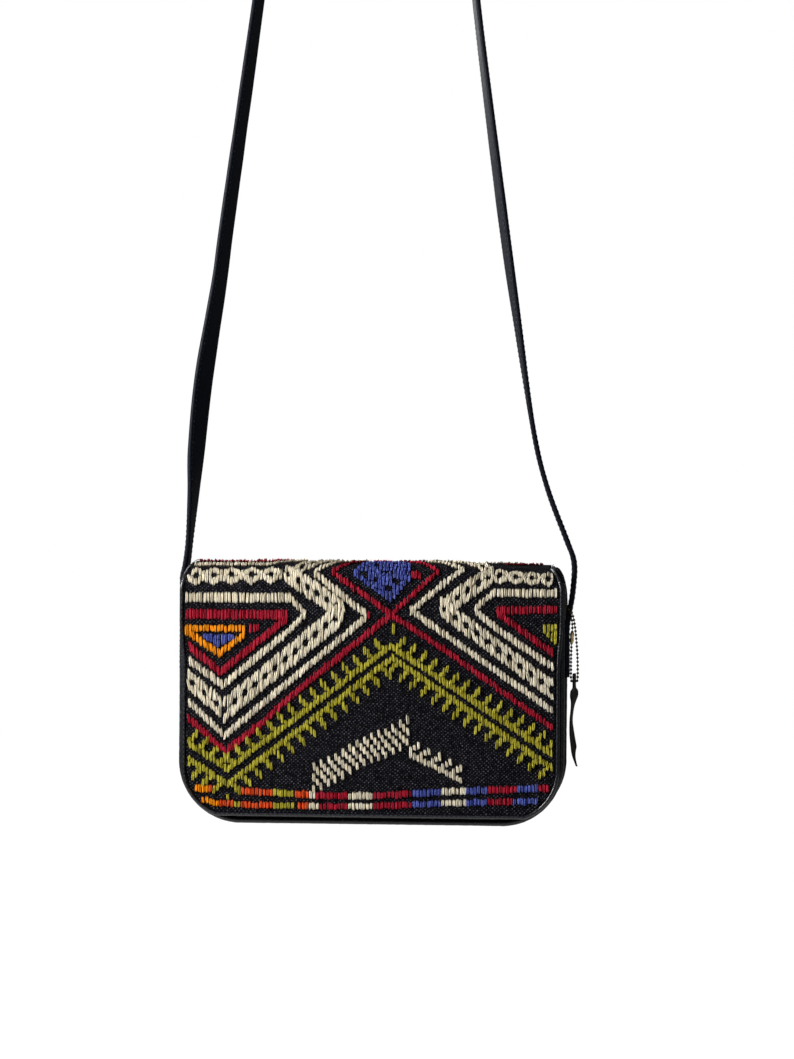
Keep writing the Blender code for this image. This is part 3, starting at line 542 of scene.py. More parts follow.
# Flap: the woven cloth is cut 240 mm wide at its widest and lined with thin leather. It hangs
# down the front, turns over the box's front edge and ends at the hinge roll on the back.

FACE_Y = -30.6 * MM
FLAP_BOTTOM = 6.4 * MM
FLAP_HALF_W = 118.3 * MM
FLAP_SHOULDER_HALF_W = 120.2 * MM
FLAP_TOP_HALF_W = 113.4 * MM
FLAP_CORNER = 29.5 * MM
FOLD_R = 18.0 * MM
FOLD_START = 149.7 * MM
CROWN = math.radians(6.0)
RISE = FOLD_START - FLAP_BOTTOM
FOLD_END = RISE + FOLD_R * (math.pi / 2 - CROWN / 2)
FLAP_MIDDLE = -2.1 * MM
CROWN_R = (HINGE_Y - (WELT_R + WELT_GAP) * math.cos(CROWN / 2) - FLAP_MIDDLE * math.sin(CROWN / 2)
           - FACE_Y - FOLD_R + FOLD_R * math.sin(CROWN / 2)) / (2 * math.sin(CROWN / 2))
FLAP_LENGTH = FOLD_END + CROWN_R * CROWN
SWELL_FROM, SWELL_RUN = 0.66 * RISE, 0.21 * RISE
DRAWN_RUN = 1.1 * (FOLD_END - RISE)
CLOTH_T, CLOTH_SWELL = 1.8 * MM, 0.28 * MM
FLAP_LINING_FACE, FLAP_LINING_T = -3.0 * MM, 1.2 * MM


def on_flap(u, s, offset):
    """Points at u across the flap, s up its face from the lower edge and offset outwards.

    The face is a straight rise, then an arc of the fold's radius, then a slow crown, so the
    place is the sum of three clipped stretches and the normal turns with the last two. From the
    fold on it sinks with the bag's top edge.
    """
    turn_1 = np.clip((s - RISE) / FOLD_R, 0, math.pi / 2 - CROWN / 2)
    turn_2 = np.clip((s - FOLD_END) / CROWN_R, 0, CROWN)
    full = math.pi / 2 - CROWN / 2
    y = (FACE_Y + FOLD_R * (1 - np.cos(turn_1))
         + CROWN_R * (np.cos(full) - np.cos(full + turn_2)))
    z = (FLAP_BOTTOM + np.clip(s, 0, RISE) + FOLD_R * np.sin(turn_1)
         + CROWN_R * (np.sin(full + turn_2) - np.sin(full)))
    turn = turn_1 + turn_2
    over = np.clip((s - RISE) / (FLAP_LENGTH - RISE), 0, 1)
    z = z - sag(u) * 0.5 * (np.sin(math.pi * over) + np.clip(over * 3, 0, 1))
    ny, nz = -np.cos(turn), np.sin(turn)
    u, y, z = np.broadcast_arrays(u, y + ny * offset, z + nz * offset)
    return np.stack([u, y, z], -1)


def flap_half_width(s):
    """Half width of the weave: round at the lower corners, a little fuller below the fold and
    drawn in over it, both by smooth steps."""
    drop = np.clip(FLAP_CORNER - s, 0, FLAP_CORNER)
    corner = FLAP_HALF_W - FLAP_CORNER + np.sqrt(np.maximum(FLAP_CORNER ** 2 - drop ** 2, 0))
    swell = smooth_step((s - SWELL_FROM) / SWELL_RUN)
    drawn = smooth_step((s - RISE) / DRAWN_RUN)
    return (corner + (FLAP_SHOULDER_HALF_W - FLAP_HALF_W) * swell
            - (FLAP_SHOULDER_HALF_W - FLAP_TOP_HALF_W) * drawn)


def cloth_waves(u, s):
    """Slow swells of the hand-woven cloth, up to about half a millimetre."""
    return CLOTH_SWELL * (np.sin(u / (31 * MM) + 1.3) * np.cos(s / (23 * MM))
                          + 0.5 * np.sin(u / (13 * MM) + s / (17 * MM)))


def flap_sheet_rings(outside, thickness, waves):
    """Closed rings at each length up the flap: the outer face across and the inner face back."""
    s = np.concatenate([FLAP_CORNER * (1 - np.cos(np.linspace(0, math.pi / 2, 18))),
                        np.linspace(FLAP_CORNER, FLAP_LENGTH, 96)[1:]])
    across = np.linspace(-1, 1, 97)
    u = flap_half_width(s)[:, None] * across
    s = np.broadcast_to(s[:, None], u.shape)
    lift = waves * cloth_waves(u, s)
    outer = on_flap(u, s, outside + lift)
    inner = on_flap(u, s, outside - thickness + lift * 0.5)
    uv = np.stack([u / MM, s / MM, np.zeros(u.shape)], -1)
    return both_faces(outer, inner)[None], both_faces(uv, uv)[None]


def weave_millimetres(tree):
    """The cloth's own coordinates, in millimetres across and up the flap."""
    return add(tree, "Attribute", attribute_name="weave").outputs["Vector"]


# The ground's first colour, near black, is painted shade between its threads.
GROUND_WEAVE = woven_cloth("ground weave", (0.0008, 0.0008, 0.0012), (0.012, 0.012, 0.016),
                           (0.100, 0.100, 0.125), 1.3, 1.2, 0.85, 0.5 * MM, weave_millimetres)
rings, weave_uv = flap_sheet_rings(0.0, CLOTH_T, 1.0)
kilim = skin("kilim_ground", rings, GROUND_WEAVE, {"weave": weave_uv})
fasten(kilim, "flap", "flap_kilim")

FLAP_LEATHER = leather("flap lining leather", (0.010, 0.009, 0.009), (0.022, 0.020, 0.019), 0.55,
                       1100.0, 0.25)
flap_lining = skin("flap_lining_leather",
                   flap_sheet_rings(FLAP_LINING_FACE, FLAP_LINING_T, 0.4)[0], FLAP_LEATHER)
fasten(flap_lining, "flap", "flap_lining")

# Pattern yarns: fat wool stitches, each laid upright over the ground weave and tucked in at both
# ends, side by side in columns 2.3 mm apart. A colour's stitches are one piece.

COLUMN = 2.3
STRAND_W = 1.02
STRAND_GAP = 0.46
STITCH_H, STITCH_ROOT = 1.5, 0.5
STITCH_TUCK = 0.4
EYE_COLUMN = 2.15
EYE_CUTS = ((1.16, 1.5), (2.4, 0.5))     # within this reach of an eye, this much is cut away
TOOTH = ((0, 1.0, 4.0), (1, 1.4, 7.1), (2, 3.7, 8.9))     # column, and both ends off the line
FEATHER = ((0, -4.4, 3.0), (1, -4.2, -0.4), (1, 1.4, 5.2), (2, -4.3, -0.5), (2, 3.4, 8.0))


def column_places(low, high):
    """The woven columns, in millimetres from the flap's middle, that lie between two places."""
    first = math.ceil(min(low, high) / COLUMN - 0.5)
    last = math.ceil(max(low, high) / COLUMN - 0.5)
    return (np.arange(first, last) + 0.5) * COLUMN


def stitches(u, low, high, lean=0.0):
    """Rows of (u, lower end, upper end, sideways lean of the upper end), in millimetres."""
    u = np.atleast_1d(np.asarray(u, float))
    return np.stack(np.broadcast_arrays(u, low, high, lean), -1)


def band(tall, points):
    """Upright stitches along a bent line, one in each column it crosses, leaning with it."""
    rows = []
    for (u0, s0), (u1, s1) in zip(points, points[1:]):
        u = column_places(u0, u1)
        if not len(u):
            continue
        slope = (s1 - s0) / (u1 - u0)
        middle = s0 + slope * (u - u0)
        lean = np.clip(slope, -1, 1) * 0.2 * tall
        rows.append(stitches(u, middle - tall / 2, middle + tall / 2, lean))
    return np.concatenate(rows)


def filled(corners, tall=5.0, eyes=()):
    """Upright stitches that fill the shape between an upper and a lower bent line.

    Round each eye (u, s) they are cut back, most in its own column, so that a dark star shows.
    """
    upper, lower = corners
    u = column_places(upper[0][0], upper[-1][0])
    top = np.interp(u, *zip(*upper))
    bottom = np.interp(u, *zip(*lower))
    rows = []
    for place, low, high in zip(u, bottom, top):
        count = max(1, round((high - low) / tall))
        ends = np.linspace(low, high, count + 1)
        ends[1:-1] += 0.8 * math.sin(place * 5.0)
        spans = list(zip(ends[:-1], ends[1:] - 0.3))
        for eye_u, eye_s in eyes:
            cut = next((cut for reach, cut in EYE_CUTS if abs(eye_u - place) < reach), 0.0)
            if cut:
                spans = [piece for a, b in spans
                         for piece in ((a, min(b, eye_s - cut)), (max(a, eye_s + cut), b))]
        rows += [stitches(place, a, b) for a, b in spans if b - a > 1.2]
    return np.concatenate(rows)


def eye_row(points, eyes, half_tall, scallop):
    """A pale band of two stitches in each column, drawn apart round each dark four-pointed eye.

    The columns are set out afresh from eye to eye, so that each eye has one of its own. There the
    two stitches stand 1.9 mm off the band's middle line, beside it they almost meet, and further
    off they overlap. With a scallop the band is taller by that much at an eye than half way
    between two. Stitches near an eye lean round it.
    """
    (u0, s0), (u1, s1) = points
    eyes = np.sort(np.asarray(eyes, float))
    steps = np.maximum(np.round(np.diff(eyes) / EYE_COLUMN), 1)
    spans = [a + (b - a) * np.arange(n) / n for a, b, n in zip(eyes, eyes[1:], steps)]
    before = np.arange(eyes[0] - EYE_COLUMN, min(u0, u1), -EYE_COLUMN)
    after = np.arange(eyes[-1], max(u0, u1), EYE_COLUMN)
    u = np.concatenate([before, *spans, after])
    slope = (s1 - s0) / (u1 - u0)
    middle = s0 + slope * (u - u0)
    reach = np.abs(u[:, None] - eyes).min(1)
    near = eyes[np.abs(u[:, None] - eyes).argmin(1)]
    beside = 0.2 if scallop else -0.3
    gap = np.where(reach < 0.5, 1.9, np.where(reach < 2.6, beside, -0.8))
    tall = half_tall - scallop * np.clip(reach / 6.3, 0, 1)
    lean = np.clip(slope, -1, 1) * 1.1
    turn = 0.4 * np.where(reach < 4.5, u - near, 0.0)
    return np.concatenate([stitches(u, middle + gap, middle + tall, lean - turn),
                           stitches(u, middle - tall, middle - gap, lean + turn)])


def comb(points, side):
    """A line of stitches with a tooth at every third column: two more stitches, each one column
    further along and a little higher, so that the tooth points up, or down where side is -1."""
    (u0, s0), (u1, s1) = points
    slope = (s1 - s0) / (u1 - u0)
    to = -math.copysign(1.0, slope) * side
    roots = column_places(u0, u1)[1::3]
    middle = s0 + slope * (roots - u0)
    rows = [band(5.0, points)]
    for step, low, high in TOOTH:
        ends = np.sort(np.stack([middle + side * low, middle + side * high]), 0)
        rows.append(stitches(roots + to * step * COLUMN, ends[0], ends[1], 0.6 * to * side))
    return np.concatenate(rows)


def bricks(line, reach, step, tall):
    """Short stitches laid like bricks over a slanting band: in a column they stand a step apart,
    as far as the reach from the line, and every other column is moved up by half a step."""
    u = column_places(line[0][0], line[-1][0])
    away = np.arange(-2, 3) * step + (np.arange(len(u)) % 2)[:, None] * step / 2
    s = np.interp(u, *zip(*line))[:, None] + away
    kept = np.abs(away) < reach
    u = np.broadcast_to(u[:, None], s.shape)[kept]
    return stitches(u, s[kept] - tall / 2, s[kept] + tall / 2, -0.5)


def feather(line):
    """A feathered line: its columns take turns at one tall stitch and two pairs of short ones."""
    u = column_places(line[0][0], line[-1][0])
    s = np.interp(u, *zip(*line))
    return np.concatenate([stitches(u[k::3], s[k::3] + low, s[k::3] + high, -0.5)
                           for k, low, high in FEATHER])


# Motifs, in millimetres across and up the flap: rows of eyes, the lozenge lattice, which is
# mirrored over the fold, the toothed bands, and the two dashed rows along the lower edge.
EYE_BANDS = [
    ((-120, 152.4), (-56.5, 154.6), 6.6, 3.0, [-112.9, -101.3, -89.7, -77.0, -64.4]),
    ((-56.5, 156.6), (-17.5, 130.8), 7.3, 0.0, [-52.9, -46.7, -40.6, -34.4, -28.3, -22.1]),
    ((-19.5, 128.9), (-93.4, 66.7), 8.6, 0.0, np.linspace(-22.4, -93.4, 12)),
    ((-95.0, 67.6), (-120, 88.5), 7.2, 0.0, [-98.6, -106.8, -114.4]),
    ((-52, 154.6), (-22, 181), 6.6, 0.0, [-45, -38, -31, -24]),
    ((121, 154.2), (80.0, 155.6), 6.2, 2.6, [82.5, 92.5, 103.0, 113.5]),
    ((78.5, 156.4), (48.5, 134.6), 7.2, 0.0, [75.5, 68.9, 62.3, 55.7]),
    ((43.6, 135.2), (121, 78.4), 6.8, 0.0,
     [47.6, 54.4, 61.2, 68.2, 75.3, 82.4, 89.3, 96.0, 102.9, 109.6, 116.4]),
    ((77.5, 158.5), (52, 181), 6.6, 0.0, [71, 64, 57]),
]
LATTICE = {
    "cream": [
        band(6.4, [(-120, 138.6), (-51.5, 138.9)]),
        band(6.4, [(-51.5, 138.9), (-42.0, 128.6), (-53.8, 116.6), (-94.5, 82.6), (-120, 100.4)]),
        band(5.9, [(-4, 185), (-37.5, 155.9), (-1.6, 127.9), (-93.4, 50.2), (-120, 74.6)]),
        band(4.6, [(-120, 163.0), (-66, 165.0), (-46, 178)]),
        band(5.3, [(35, 178), (59.0, 159.2), (26.2, 131.4), (121, 65.4)]),
        band(5.4, [(121, 143.4), (78.6, 143.2), (66.3, 132.4)]),
        band(5.6, [(66.3, 131.8), (82.5, 119.3), (121, 93.2)]),
    ],
    "crimson": [
        band(6.3, [(-120, 127.8), (-53.5, 128.0)]),
        band(6.7, [(-53.5, 126.0), (-96.3, 90.9), (-120, 110.0)]),
        band(4.8, [(-4.0, 176), (-25.6, 156.2), (13.4, 128.9)]),
        band(5.9, [(13.4, 128.9), (-53.8, 73.3), (-69.6, 58.2), (-93.0, 40.2), (-120, 64.0)]),
        band(4.6, [(23.6, 176), (43.2, 156.8), (13.4, 128.9), (47.3, 106.9), (121, 54.5)]),
        band(4.4, [(-120, 171.5), (-66, 174.5), (-58, 180)]),
        band(4.9, [(121, 132.8), (80.0, 132.0)]),
        band(5.6, [(80.6, 131.0), (121, 102.0)]),
        filled(([(-78.4, 122.2), (-71, 122.0)], [(-78.4, 116.4), (-71, 117.2)])),
        filled(([(25.8, 158.0), (32.8, 157.0)], [(25.8, 152.0), (32.8, 151.0)])),
        stitches([-0.9], [125.8], [130.2]),
    ],
    "blue": [filled(([(-12.3, 155.0), (-5, 168), (4, 176.5), (18, 176.5), (25.2, 165.5)],
                     [(-12.3, 154.0), (13.0, 136.8), (25.2, 151.0)]), 3.4,
                    [(-4.0, 155.0), (10.0, 156.5), (3.3, 150.1), (16.6, 150.2), (2.6, 163.4),
                     (15.8, 165.8), (9.6, 170.4), (10.5, 145.8)])],
}
YARNS = {
    "cream": [
        bricks([(-36.5, 23.0), (-20, 31), (-10, 38), (0, 43), (10, 46), (24.5, 54.5)], 8.7, 7.2, 4.9),
        feather([(25.6, 42.0), (59.5, 25.2)]),
    ],
    "orange": [
        filled(([(-119, 121.2), (-79.5, 121.2)], [(-119, 116.8), (-79.5, 116.8)])),
        band(5.6, [(-119, 117.4), (-97.3, 102.9), (-79.5, 116.6)]),
    ],
    "blue": [filled(([(-109, 115.4), (-87, 115.4)], [(-109, 112.8), (-97.6, 106.8), (-87, 112.8)]))],
    "green": [
        comb([(-120, 47.2), (-91.3, 28.6)], 1), comb([(-91.3, 28.6), (13.3, 108.6)], 1),
        comb([(13.3, 108.6), (120, 38.6)], 1),
        comb([(-120, 36.8), (-91.2, 18.9)], -1), comb([(-91.2, 18.9), (14.3, 101.0)], -1),
        comb([(14.3, 101.0), (120, 29.6)], -1),
        stitches([14.8], [116.4], [122.6]), stitches([-91.0], [8.6], [12.6]),
        filled(([(109.8, 123.4), (121, 123.6)], [(109.8, 119.0), (118, 110.4)])),
    ],
}
UPPER_ROW = [(-119, 16.4), (-77.6, 14.6), (-25.9, 12.2), (2.4, 12.6), (51.2, 15.9), (119, 19.2)]
LOWER_ROW = [(-112, 10.6), (-106, 8.6), (-99, 6.9), (-77.6, 5.8), (-25.9, 5.5), (2.4, 6.0),
             (51.2, 8.6), (119, 11.0)]
ROW_COLOURS = [
    (UPPER_ROW, 4.3, -119, [(-102.5, "orange"), (-98, "red"), (-83, None), (-62, "red"),
                            (-48, "green"), (-40, "red"), (-34, "cream"), (-14, "crimson"),
                            (2.5, "cream"), (27, "crimson"), (46, "blue"), (63, "cream"),
                            (76, "blue"), (94, "crimson"), (108.5, "blue"), (119, "crimson")]),
    (LOWER_ROW, 3.8, -119, [(-97, "orange"), (-87, "red"), (-83.5, "green"), (-61.5, "red"),
                            (-48, "green"), (-46, None), (-38, "red"), (-33, "cream"),
                            (-13, "crimson"), (2, "cream"), (27.5, "crimson"), (46, "blue"),
                            (63, "cream"), (75.5, "blue"), (93, "crimson"), (119, "blue")]),
]


MIRROR_LINE, FRONT_END = 155.5, 181.0
WEAVE_MARGIN, SHORTEST_STITCH = 0.6, 1.4


def mirrored(rows):
    """The same stitches upside down above the mirror line, where the front's have ended."""
    u, low, high, lean = rows.T
    flipped = stitches(u, 2 * MIRROR_LINE - high, 2 * MIRROR_LINE - low, -lean)
    return flipped[flipped[:, 1] > FRONT_END]


for colour, groups in LATTICE.items():
    front = np.concatenate(groups)
    YARNS.setdefault(colour, []).extend([front, mirrored(front)])
for start, end, half_tall, scallop, eyes in EYE_BANDS:
    YARNS["cream"].append(eye_row((start, end), eyes, half_tall, scallop))
for line, tall, left, stretches in ROW_COLOURS:
    for end, colour in stretches:
        if colour:
            u = column_places(left, end)
            middle = np.interp(u, *zip(*line))
            YARNS.setdefault(colour, []).append(stitches(u, middle - tall / 2, middle + tall / 2))
        left = end


def on_the_weave(rows):
    """Only the stitches whose ends lie on the cloth, a margin inside the binding."""
    limit = flap_half_width(rows[:, 1:3] * MM) / MM - WEAVE_MARGIN
    inside = (np.abs(rows[:, :1]) < limit).all(1) & (rows[:, 1] > WEAVE_MARGIN)
    inside &= rows[:, 2] < FLAP_LENGTH / MM - 2
    return rows[inside & (rows[:, 2] - rows[:, 1] > SHORTEST_STITCH)]


def stitch_rings(rows, seed):
    """Closed skins of many strands: (strands, rows, columns, 3), two strands to a stitch.

    Along a strand its height rises steeply to a flat arch and its half width shrinks a little
    to the ends, by shares of the full ones. Across it the face is a half ellipse: cosine aside
    and sine to the power 0.8 outwards. The two strands of a stitch lie side by side and come
    closer where they go into the cloth, and every one differs a little by chance.
    """
    rng = np.random.default_rng(seed)
    rows = np.repeat(rows, 2, 0)
    count = len(rows)
    side_of = np.tile([-1.0, 1.0], count // 2)
    shared = np.repeat(rng.normal(0, 1, (count // 2, 4)), 2, 0)
    u = rows[:, 0] + 0.14 * shared[:, 0]
    low = rows[:, 1] - STITCH_TUCK + 0.25 * shared[:, 1] + rng.normal(0, 0.2, count)
    high = rows[:, 2] + STITCH_TUCK + 0.25 * shared[:, 2] + rng.normal(0, 0.2, count)
    lean = rows[:, 3] + 0.2 * shared[:, 3] + rng.normal(0, 0.1, count)
    wide = STRAND_W * rng.normal(1.0, 0.1, count)
    tall = STITCH_H * rng.normal(1.0, 0.2, count)
    apart = side_of * STRAND_GAP * rng.normal(1.0, 0.12, count)
    along = np.array([-1.0, -0.9, -0.45, 0.45, 0.9, 1.0])
    arch = np.array([0.0, 0.72, 0.97, 0.97, 0.72, 0.0])
    taper = np.array([0.62, 0.88, 1.0, 1.0, 0.88, 0.62])
    draw = np.array([0.55, 0.8, 1.0, 1.0, 0.8, 0.55])
    turn = np.linspace(0, math.pi, 5)
    side = np.concatenate([np.cos(turn), [-0.6, 0.6]])
    face = np.concatenate([np.sin(turn) ** 0.8, [-0.3, -0.3]])
    rise = along[None, :, None]
    wide, tall, lean, apart = (v[:, None, None] for v in (wide, tall, lean, apart))
    place_u = (u[:, None, None] + apart * draw[:, None] + side * wide / 2 * taper[:, None]
               + rise * lean / 2)
    middle, half = ((low + high) / 2)[:, None, None], ((high - low) / 2)[:, None, None]
    place_s = middle + rise * half + 0 * side
    proud = (tall + STITCH_ROOT) * arch[:, None] * np.maximum(face, 0)
    off = np.where(face < 0, -STITCH_ROOT - 0.1, proud - STITCH_ROOT)
    points = on_flap(place_u * MM, place_s * MM, off * MM + cloth_waves(place_u * MM, place_s * MM))
    each = np.clip(0.5 + 0.2 * shared[:, 0] + rng.normal(0, 0.2, count), 0, 1)[:, None, None]
    blank = 0 * place_u
    yarn = np.stack([side * wide / 2 + blank, rise * half + blank, each + blank], -1)
    # lie holds the painted shade's mask (how near an end, how far up the face) and each stitch's random
    # tone.
    lie = np.stack([np.abs(rise) + blank, np.maximum(face, 0) + blank, each + blank], -1)
    return points, {"yarn": yarn, "lie": lie}


def wool_group():
    """Twisted wool: fine strands that run along the stitch, and the share of painted shade on its sides,
    in its groove and at its ends.
    """
    group, given, result = shader_group("wool_twist", ["Yarn", "Lie"], {},
                                        ["Strand", "Shade", "Each"])
    yarn, lie = (add(group, "SeparateXYZ", {0: given[fact]}).outputs for fact in ("Yarn", "Lie"))
    along = calc("MULTIPLY_ADD", yarn["Y"], 0.55, calc("MULTIPLY", yarn["X"], 0.5))
    place = add(group, "CombineXYZ", {0: calc("MULTIPLY", yarn["X"], 1.9), 1: along,
                                      2: calc("MULTIPLY", yarn["Z"], 57.0)})
    edge = calc("SUBTRACT", 1.0, calc("POWER", lie["X"], 6.0))
    feed(result, {"Strand": noise(place.outputs[0], 1.9, 3.0, 0.65), "Each": lie["Z"],
                  "Shade": calc("MULTIPLY", edge, calc("POWER", lie["Y"], 0.9))})
    return group


WOOL_TWIST = wool_group()


def wool(name, painted_shade, plain, pale):
    """Dyed wool: painted shade in the folds and at the ends, plain on the face, a painted highlight on
    the raised plies, and a random tone for each stitch.
    """
    material, tree, shader = material_nodes(name, {"Roughness": 0.85, "Specular IOR Level": 0.04})
    facts = {fact: add(tree, "Attribute", attribute_name=fact.lower()).outputs["Vector"]
             for fact in ("Yarn", "Lie")}
    twist = add(tree, "Group", facts, node_tree=WOOL_TWIST).outputs
    # Painted highlight: where the Strand noise, which also raises the bump, is high the colour turns
    # pale; each stitch's random tone shifts it.
    share = calc("MULTIPLY_ADD", twist["Strand"], 3.4, -1.45)
    strands = between(calc("MULTIPLY_ADD", twist["Each"], 0.5, share), plain, pale)
    # Painted shade: the first colour darkens the strands' sides, the groove between them and their ends,
    # by the Shade share.
    folds = calc("MULTIPLY_ADD", twist["Shade"], 1.6, -0.5)
    feed(shader, {"Base Color": between(folds, painted_shade, strands)})
    emboss(shader, twist["Strand"], 0.8, 0.35 * MM)
    return material


# Each wool: a painted shade colour, the plain colour, and a pale colour that is a painted highlight on
# the raised plies.
WOOLS = {
    "cream": wool("cream wool", (0.045, 0.034, 0.020), (0.58, 0.505, 0.365), (0.93, 0.88, 0.74)),
    "crimson": wool("crimson wool", (0.020, 0.001, 0.002), (0.27, 0.005, 0.018), (0.52, 0.03, 0.06)),
    "red": wool("orange-red wool", (0.05, 0.005, 0.001), (0.66, 0.05, 0.008), (0.80, 0.14, 0.04)),
    "orange": wool("orange wool", (0.09, 0.03, 0.001), (0.80, 0.25, 0.003), (0.90, 0.38, 0.02)),
    "green": wool("olive wool", (0.020, 0.020, 0.001), (0.28, 0.245, 0.012), (0.58, 0.53, 0.08)),
    "blue": wool("blue wool", (0.003, 0.004, 0.02), (0.030, 0.045, 0.25), (0.15, 0.19, 0.58)),
}
for seed, colour in enumerate(YARNS):
    rows = on_the_weave(np.concatenate(YARNS[colour]))
    points, facts = stitch_rings(rows, 100 + seed)
    yarns = skin(colour + "_yarn", points, WOOLS[colour], facts)
    fasten(yarns, "flap")

# Binding: thin leather rolled round the three free edges of the flap, over cloth and lining, and
# sewn through with a row of small stitches.

BINDING_HALF_W = 1.4 * MM
BINDING_HALF_T = 2.5 * MM
BINDING_OFFSET = -1.6 * MM
BINDING_GAP = 0.3 * MM
CLOSING_RUN = 7 * MM
THINNER_FROM, THINNER_RUN = RISE + 8 * MM, 20 * MM


def flap_edge(out):
    """Points (u, s) along the flap's three free edges, moved outwards by out, left to right."""
    corner = np.linspace(0, math.pi / 2, 40)
    radius = FLAP_CORNER + out
    base = np.linspace(0, FLAP_HALF_W - FLAP_CORNER, 70)[:-1]
    side = np.linspace(FLAP_CORNER, FLAP_LENGTH, 130)[1:]
    u = np.concatenate([base, FLAP_HALF_W - FLAP_CORNER + radius * np.sin(corner),
                        flap_half_width(side) + out])
    s = np.concatenate([np.full(len(base), -out), FLAP_CORNER - radius * np.cos(corner), side])
    return np.concatenate([-u[::-1], u[1:]]), np.concatenate([s[::-1], s[1:]])


def run_length(points):
    """How far along a path each of its points lies."""
    return np.concatenate([[0], np.cumsum(np.linalg.norm(np.diff(points, axis=0), axis=1))])


def read_at(t, length, values):
    """The columns of values, known at these lengths, read at the places t."""
    return np.stack([np.interp(t, length, column) for column in values.T], -1)


def binding_rings():
    """A flattened roll: half a width times cosine aside, and outwards half a thickness times
    sine to the power 0.8.

    It puckers in smooth random waves, gets thinner past the fold and closes at the hinge.
    """
    u, s = flap_edge(BINDING_GAP + BINDING_HALF_W)
    path = on_flap(u, s, BINDING_OFFSET)
    outward = unit(on_flap(u, s, 1.0) - on_flap(u, s, 0.0))
    along = unit(np.gradient(path, axis=0))
    aside = unit(np.cross(along, outward))
    length = run_length(path)
    pinch = 1 + 0.03 * noise_1d(length, 4.2 * MM, 21) + 0.04 * noise_1d(length, 47 * MM, 22)
    closing = 1 - 0.6 * np.clip((s - FLAP_LENGTH) / CLOSING_RUN + 1, 0, 1) ** 2
    pinch = pinch * (1 - 0.35 * np.clip((s - THINNER_FROM) / THINNER_RUN, 0, 1)) * closing
    cosine, sine = circle(16)
    flat = np.sign(sine) * np.abs(sine) ** 0.8
    wide = BINDING_HALF_W * closing[:, None] * cosine
    rings = (path[:, None] + aside[:, None] * wide[..., None]
             + outward[:, None] * (BINDING_HALF_T * flat)[:, None] * pinch[:, None, None])
    return rings, path, along, outward, aside


rings, binding_path, binding_along, binding_out, binding_aside = binding_rings()
binding = skin("binding_leather", rings[None], BLACK_LEATHER)
fasten(binding, "flap", "flap_binding")


def thread_rings(places, along, out, length, radius):
    """Small sewn stitches: (stitches, rows, columns, 3), each a thin spindle that arches out."""
    share = np.array([-1.0, -0.6, 0.0, 0.6, 1.0])
    slim = np.array([0.35, 0.85, 1.0, 0.85, 0.35])
    arch = np.array([-0.6, 0.25, 0.55, 0.25, -0.6])
    middle = (places[:, None] + along[:, None] * (share * length / 2)[:, None]
              + out[:, None] * (arch * radius)[:, None])
    ring = radius * ring_round(unit(np.cross(along, out)), out, 6)
    return middle[:, :, None] + ring[:, None] * slim[:, None, None]


def evenly(path, *others, pitch, skip=0.0):
    """The path and what goes with it, read again at even steps, clear of both ends."""
    length = run_length(path)
    t = np.arange(skip + pitch / 2, length[-1] - skip, pitch)
    return [read_at(t, length, values) for values in (path, *others)]


def thread(name, colour):
    """Waxed sewing thread: fine plies that slant round it."""
    material, tree, shader = material_nodes(name, {"Roughness": 0.6, "Specular IOR Level": 0.2})
    plies = add(tree, "TexWave", {"Vector": add(tree, "TexCoord").outputs["Object"],
                                  "Scale": 900.0, "Distortion": 2.0}).outputs["Fac"]
    feed(shader, {"Base Color": between(plies, tuple(0.5 * part for part in colour), colour)})
    emboss(shader, plies, 0.4, 0.05 * MM)
    return material


BLACK_THREAD = thread("black thread", (0.030, 0.034, 0.048))
seam = evenly(binding_path + binding_out * 2.35 * MM - binding_aside * 0.2 * MM,
              binding_along, binding_out, pitch=3.1 * MM, skip=4 * MM)
binding_seam = skin("binding_stitches", thread_rings(*seam, 2.2 * MM, 0.24 * MM), BLACK_THREAD)
fasten(binding_seam, "flap")

# Hinge roll: a roll of black leather sewn along the back's top edge, on which the flap turns. It
# sinks with the bag's right end and gets thinner towards both of its own ends.

WELT_HALF_W = FLAP_TOP_HALF_W - 0.6 * MM
WELT_TAPER = 4.8 * MM

x = np.linspace(-WELT_HALF_W, WELT_HALF_W, 160)
path = np.stack([x, 0 * x + HINGE_Y, HINGE_Z - 0.5 * sag(x)], -1)
narrowing = 1 - 0.45 * np.clip(1 - (WELT_HALF_W - np.abs(x)) / WELT_TAPER, 0, 1) ** 2
radius = WELT_R * (1 + 0.02 * noise_1d(x, 6 * MM, 31)) * narrowing
welt = skin("hinge_roll_leather",
            tube_rings(path, radius, 16, np.array([0.0, 0.0, 1.0]), False)[None], BLACK_LEATHER)
fasten(welt, "bag", "hinge_welt")

# Snap: a magnetic snap in plain brass, its socket on the front panel and its stud under the
# flap, each with a thin steel washer behind the leather.

SNAP_Z = 48.0 * MM


def turned(places, along, profile, sides):
    """Turned shapes at places: rings of (height along, radius) round each one's own direction."""
    helper = np.where(np.abs(along[:, 2:]) > 0.9, [[1.0, 0, 0]], [[0, 0, 1.0]])
    side = unit(np.cross(along, helper))
    ring = ring_round(side, np.cross(along, side), sides)
    profile = np.asarray(profile)
    return (places[:, None, None] + along[:, None, None] * profile[:, :1, None]
            + ring[:, None] * profile[:, 1:, None])


def metal(name, colour, pale, roughness, scratch=0.2):
    """Plain metal: brushed by fine stretched noise, with duller and darker patches."""
    material, tree, shader = material_nodes(name, {"Metallic": 1.0})
    place = add(tree, "TexCoord").outputs["Object"]
    lines = noise(place, 2400.0, 2.0, 0.6)
    feed(shader, {"Base Color": between(noise(place, 420.0, 4.0, 0.6), colour, pale),
                  "Roughness": calc("MULTIPLY_ADD", lines, scratch, roughness)})
    emboss(shader, lines, 0.15, 0.05 * MM)
    return material


